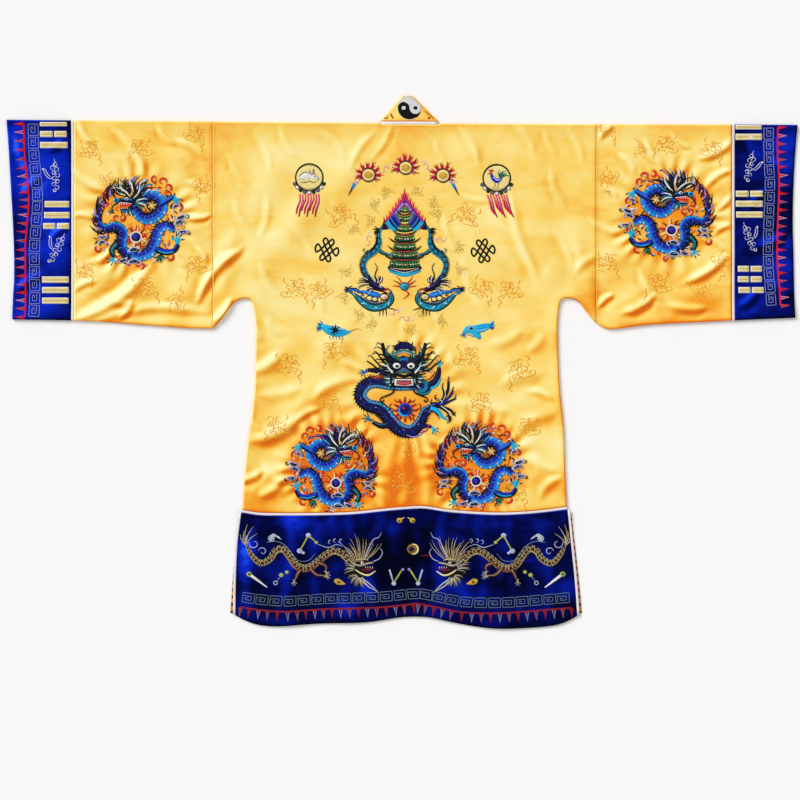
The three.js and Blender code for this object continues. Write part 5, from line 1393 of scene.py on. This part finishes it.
# hem: two dragons that meet at a disc, with emblems, over the same border
for side, column in (("left", 298.5), ("right", 513.5)):
    needle = Needle(work["hem_dragon_" + side], column, 536.3, 1, 0, side == "right")
    hemDragon(needle)
    emblems(needle)
hemEdge = [(243, 592), (262, 594.7), (283, 596.3), (305, 595), (328, 593.6), (350, 593), (380, 592),
           (404, 589.6), (419, 588.4), (442, 592.6), (464, 597), (493, 597.8), (525, 596.2), (553, 593.8),
           (570, 592.4)]
middle = Needle(work["borders_hem"], 0, 0)
borders(middle, hemEdge, 1, 13.2, 9.6, 15.2, 9, "pewter", ("dimRed", "crimson"),
        ("dimPink", "dimRed", "haze"))
middle.disc(412.6, 549, 5.6, "darkGold", 2)
middle.curl(413, 549, 5, -100, 200, 2, "cream", 3, 1)
middle.disc(411.4, 549, 3, "navy", 4)
middle.stroke([(421, 556), (426, 555), (432, 556)], (0.5, 1.2, 0.5), "crimson", 2)


def taiji(n, centre, r, inside):
    # the round sign of two halves, filled row by row and cut off by the fold
    u0, v0 = centre
    pitch, eyeShare, shortest = 0.85, 0.17, 0.6

    def half(u, v):
        if math.hypot(u, v) > r:
            return None
        for place, colour in ((-0.5, "black"), (0.5, "white")):
            if math.hypot(u - place * r, v) < r / 2:
                eye = math.hypot(u - place * r, v) < r * eyeShare
                return {"black": "white", "white": "black"}[colour] if eye else colour
        return "white" if v < 0 else "black"

    for k in range(int(2 * r / pitch) + 1):
        v = -r + pitch * (k + 0.3)
        start, colour = None, None
        for j in range(int(-r * 4) - 1, int(r * 4) + 3):
            u = j / 4
            found = half(u, v) if inside(u + u0, v + v0) else None
            if found != colour:
                if colour and u - start > shortest:
                    row = [(u0 + q, v0 + v) for q in (start, (start + u) / 2, u)]
                    n.stroke(row, (pitch * 1.1,), colour, 2, straight=True)
                start, colour = u, found
    edge = [polar(a, r) + centre for a in np.linspace(math.radians(55), math.radians(300), 26)]
    n.stroke([p for p in edge if inside(*p)], (0.8,), "cream", 3)


def onNeckband(column, row):
    # the part of the fold that shows widens from the top down
    share = (row - 96.6) / 25
    return 0 < share < 1 and 403.6 - 22.4 * share < column < 411.4 + 25.8 * share


neck = Needle(work["taiji_collar"], 0, 0)
taiji(neck, (409.4, 108.4), 11.8, onNeckband)
neck.curl(385.6, 117.4, 2.4, -40, 230, 1, "crimson", 2)
neck.stroke([(390.6, 114.2), (393, 118.4)], (1.6, 1.6), "rust", 2)
neck.disc(429, 118.4, 1.2, "crimson", 2)
neck.stroke([(404, 97.2), (411, 97.2)], (1, 1), "rust", 2)
neck.stroke([(425, 111.4), (430, 115.8), (434, 119.6)], (0.6, 0.9, 0.6), "rust", 2)


# threads become meshes
threadLook = {"patches": 60.0, "crinkles": 300.0, "ribs": 900.0, "shade": (0.62, 1.3), "bump": 0.4,
              "bumpReach": 0.0012, "roughness": 0.5, "gloss": 0.16}


def threadMaterial(look):
    material, tree, shader = newMaterial("thread")
    dyed = addNode(tree, "Attribute", attribute_name="dye")
    weave = useGroup(tree, satinWeave, Patches=look["patches"], Crinkles=look["crinkles"], Ribs=look["ribs"])
    shade = addNode(tree, "MapRange", Value=weave["Shade"])
    setInputs(shade, dict(zip(("To Min", "To Max"), look["shade"])))
    tone = addNode(tree, "HueSaturation", Color=dyed.outputs["Color"], Saturation=1.0)
    tree.links.new(shade.outputs[0], tone.inputs["Value"])
    tree.links.new(tone.outputs[0], shader.inputs["Base Color"])
    bump = addNode(tree, "Bump", Height=weave["Height"], Strength=look["bump"], Distance=look["bumpReach"])
    tree.links.new(bump.outputs[0], shader.inputs["Normal"])
    setInputs(shader, {"Roughness": look["roughness"], "Specular IOR Level": look["gloss"]})
    return material


def linear(value):
    # a screen value from 0 to 255 as light
    value /= 255
    return value / 12.92 if value <= 0.04045 else ((value + 0.055) / 1.055) ** 2.4


def makeProfile():
    # what a thread looks like cut across
    profile = bpy.data.curves.new("strokeProfile", "CURVE")
    profile.dimensions = "2D"
    line = profile.splines.new("POLY")
    s = stitching["shoulder"]
    line.points.add(3)
    for point, (x, y) in zip(line.points, ((-1, 0), (-s, 1), (s, 1), (1, 0))):
        point.co = (x, y, 0, 1)
    line.use_cyclic_u = True
    thing = bpy.data.objects.new("strokeProfile", profile)
    scene.collection.objects.link(thing)
    return thing


def clothTree():
    points, faces = [], []
    for node in ("back", "sleeve_left", "sleeve_right", "cuff_left", "cuff_right", "hem_band_back", "collar"):
        mesh = sewn[node].data
        start = len(points)
        points += [v.co.copy() for v in mesh.vertices]
        faces += [[start + i for i in p.vertices] for p in mesh.polygons if p.normal.z > 0.1]
    return BVHTree.FromPolygons(points, faces)


def clothUnder(ground, x, y):
    # where the cloth is below a spot, if there is any
    return ground.ray_cast(Vector((x, y, stitching["above"])), Vector((0, 0, -1)))[0]


def drawThreads(name, strokes, profile, ground):
    # one curve for all strokes; the layer rides along as whole metres of height, and comes off again in drape
    curve = bpy.data.curves.new(name, "CURVE")
    curve.dimensions, curve.twist_mode = "3D", "Z_UP"
    curve.bevel_mode, curve.bevel_object, curve.use_fill_caps = "OBJECT", profile, True
    for colour in threadNames:
        curve.materials.append(None)
    leftOut = 0
    for path, wide, colour, layer, closed in strokes:
        x, y = onCloth(path[:, 0], path[:, 1])
        if not all(clothUnder(ground, a, b) for a, b in zip(x, y)):
            leftOut += 1  # it would leave the cloth
            continue
        spline = curve.splines.new("POLY")
        spline.points.add(len(path) - 1)
        writeArray(spline.points, "co", np.stack([x, y, np.full(len(x), layer), np.ones(len(x))], 1))
        writeArray(spline.points, "radius", wide * chart["square"])
        spline.material_index = threadNames.index(colour)
        spline.use_cyclic_u = closed
    drawn = bpy.data.objects.new(name, curve)
    scene.collection.objects.link(drawn)
    bpy.context.view_layer.update()
    mesh = bpy.data.meshes.new_from_object(drawn.evaluated_get(bpy.context.evaluated_depsgraph_get()))
    bpy.data.objects.remove(drawn)
    bpy.data.curves.remove(curve)
    return mesh, leftOut


def drape(mesh, ground):
    p = readArray(mesh.vertices, "co", 3).astype(float)
    layer = np.round(p[:, 2])
    tall = p[:, 2] - layer
    base, last = np.zeros(len(p)), stitching["start"]
    for i, (x, y, z) in enumerate(p):
        hit = clothUnder(ground, x, y)
        last = base[i] = hit.z if hit else last
    crown = stitching["crown"] * (1 - np.exp(-np.maximum(tall, 0) / stitching["crownReach"]))
    p[:, 2] = base + np.where(tall > 1e-5, layer * stitching["lift"] + crown, -stitching["sink"])
    writeArray(mesh.vertices, "co", p)


def sewThreads(name, strokes, profile, ground, dyes):
    mesh, leftOut = drawThreads(name, strokes, profile, ground)
    drape(mesh, ground)
    colours = readArray(mesh.polygons, "material_index", kind=np.int32)
    corners = readArray(mesh.polygons, "loop_total", kind=np.int32)
    dye = mesh.color_attributes.new("dye", "FLOAT_COLOR", "CORNER")
    writeArray(dye.data, "color", np.repeat(dyes[colours], corners, axis=0))
    for layerName in [uv.name for uv in mesh.uv_layers]:
        mesh.uv_layers.remove(mesh.uv_layers[layerName])
    mesh.polygons.foreach_set("material_index", np.zeros(len(colours), np.int32))
    mesh.materials.clear()
    mesh.materials.append(threadCloth)
    bm = bmesh.new()
    bm.from_mesh(mesh)
    bmesh.ops.remove_doubles(bm, verts=bm.verts, dist=stitching["merge"])
    bm.to_mesh(mesh)
    bm.free()
    mesh.shade_smooth()
    thing = bpy.data.objects.new(name, mesh)
    scene.collection.objects.link(thing)
    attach(thing, "root")
    print(name, len(strokes) - leftOut, "left out", leftOut, sum(len(q.vertices) - 2 for q in mesh.polygons))
    return thing


threadCloth = threadMaterial(threadLook)
profile = makeProfile()
ground = clothTree()
dyes = np.array([[linear(c) for c in threads[name]] + [1.0] for name in threadNames])
embroidery = {name: sewThreads(name, strokes, profile, ground, dyes) for name, strokes in work.items()}
bpy.data.objects.remove(profile)
print("embroidery is sewn")
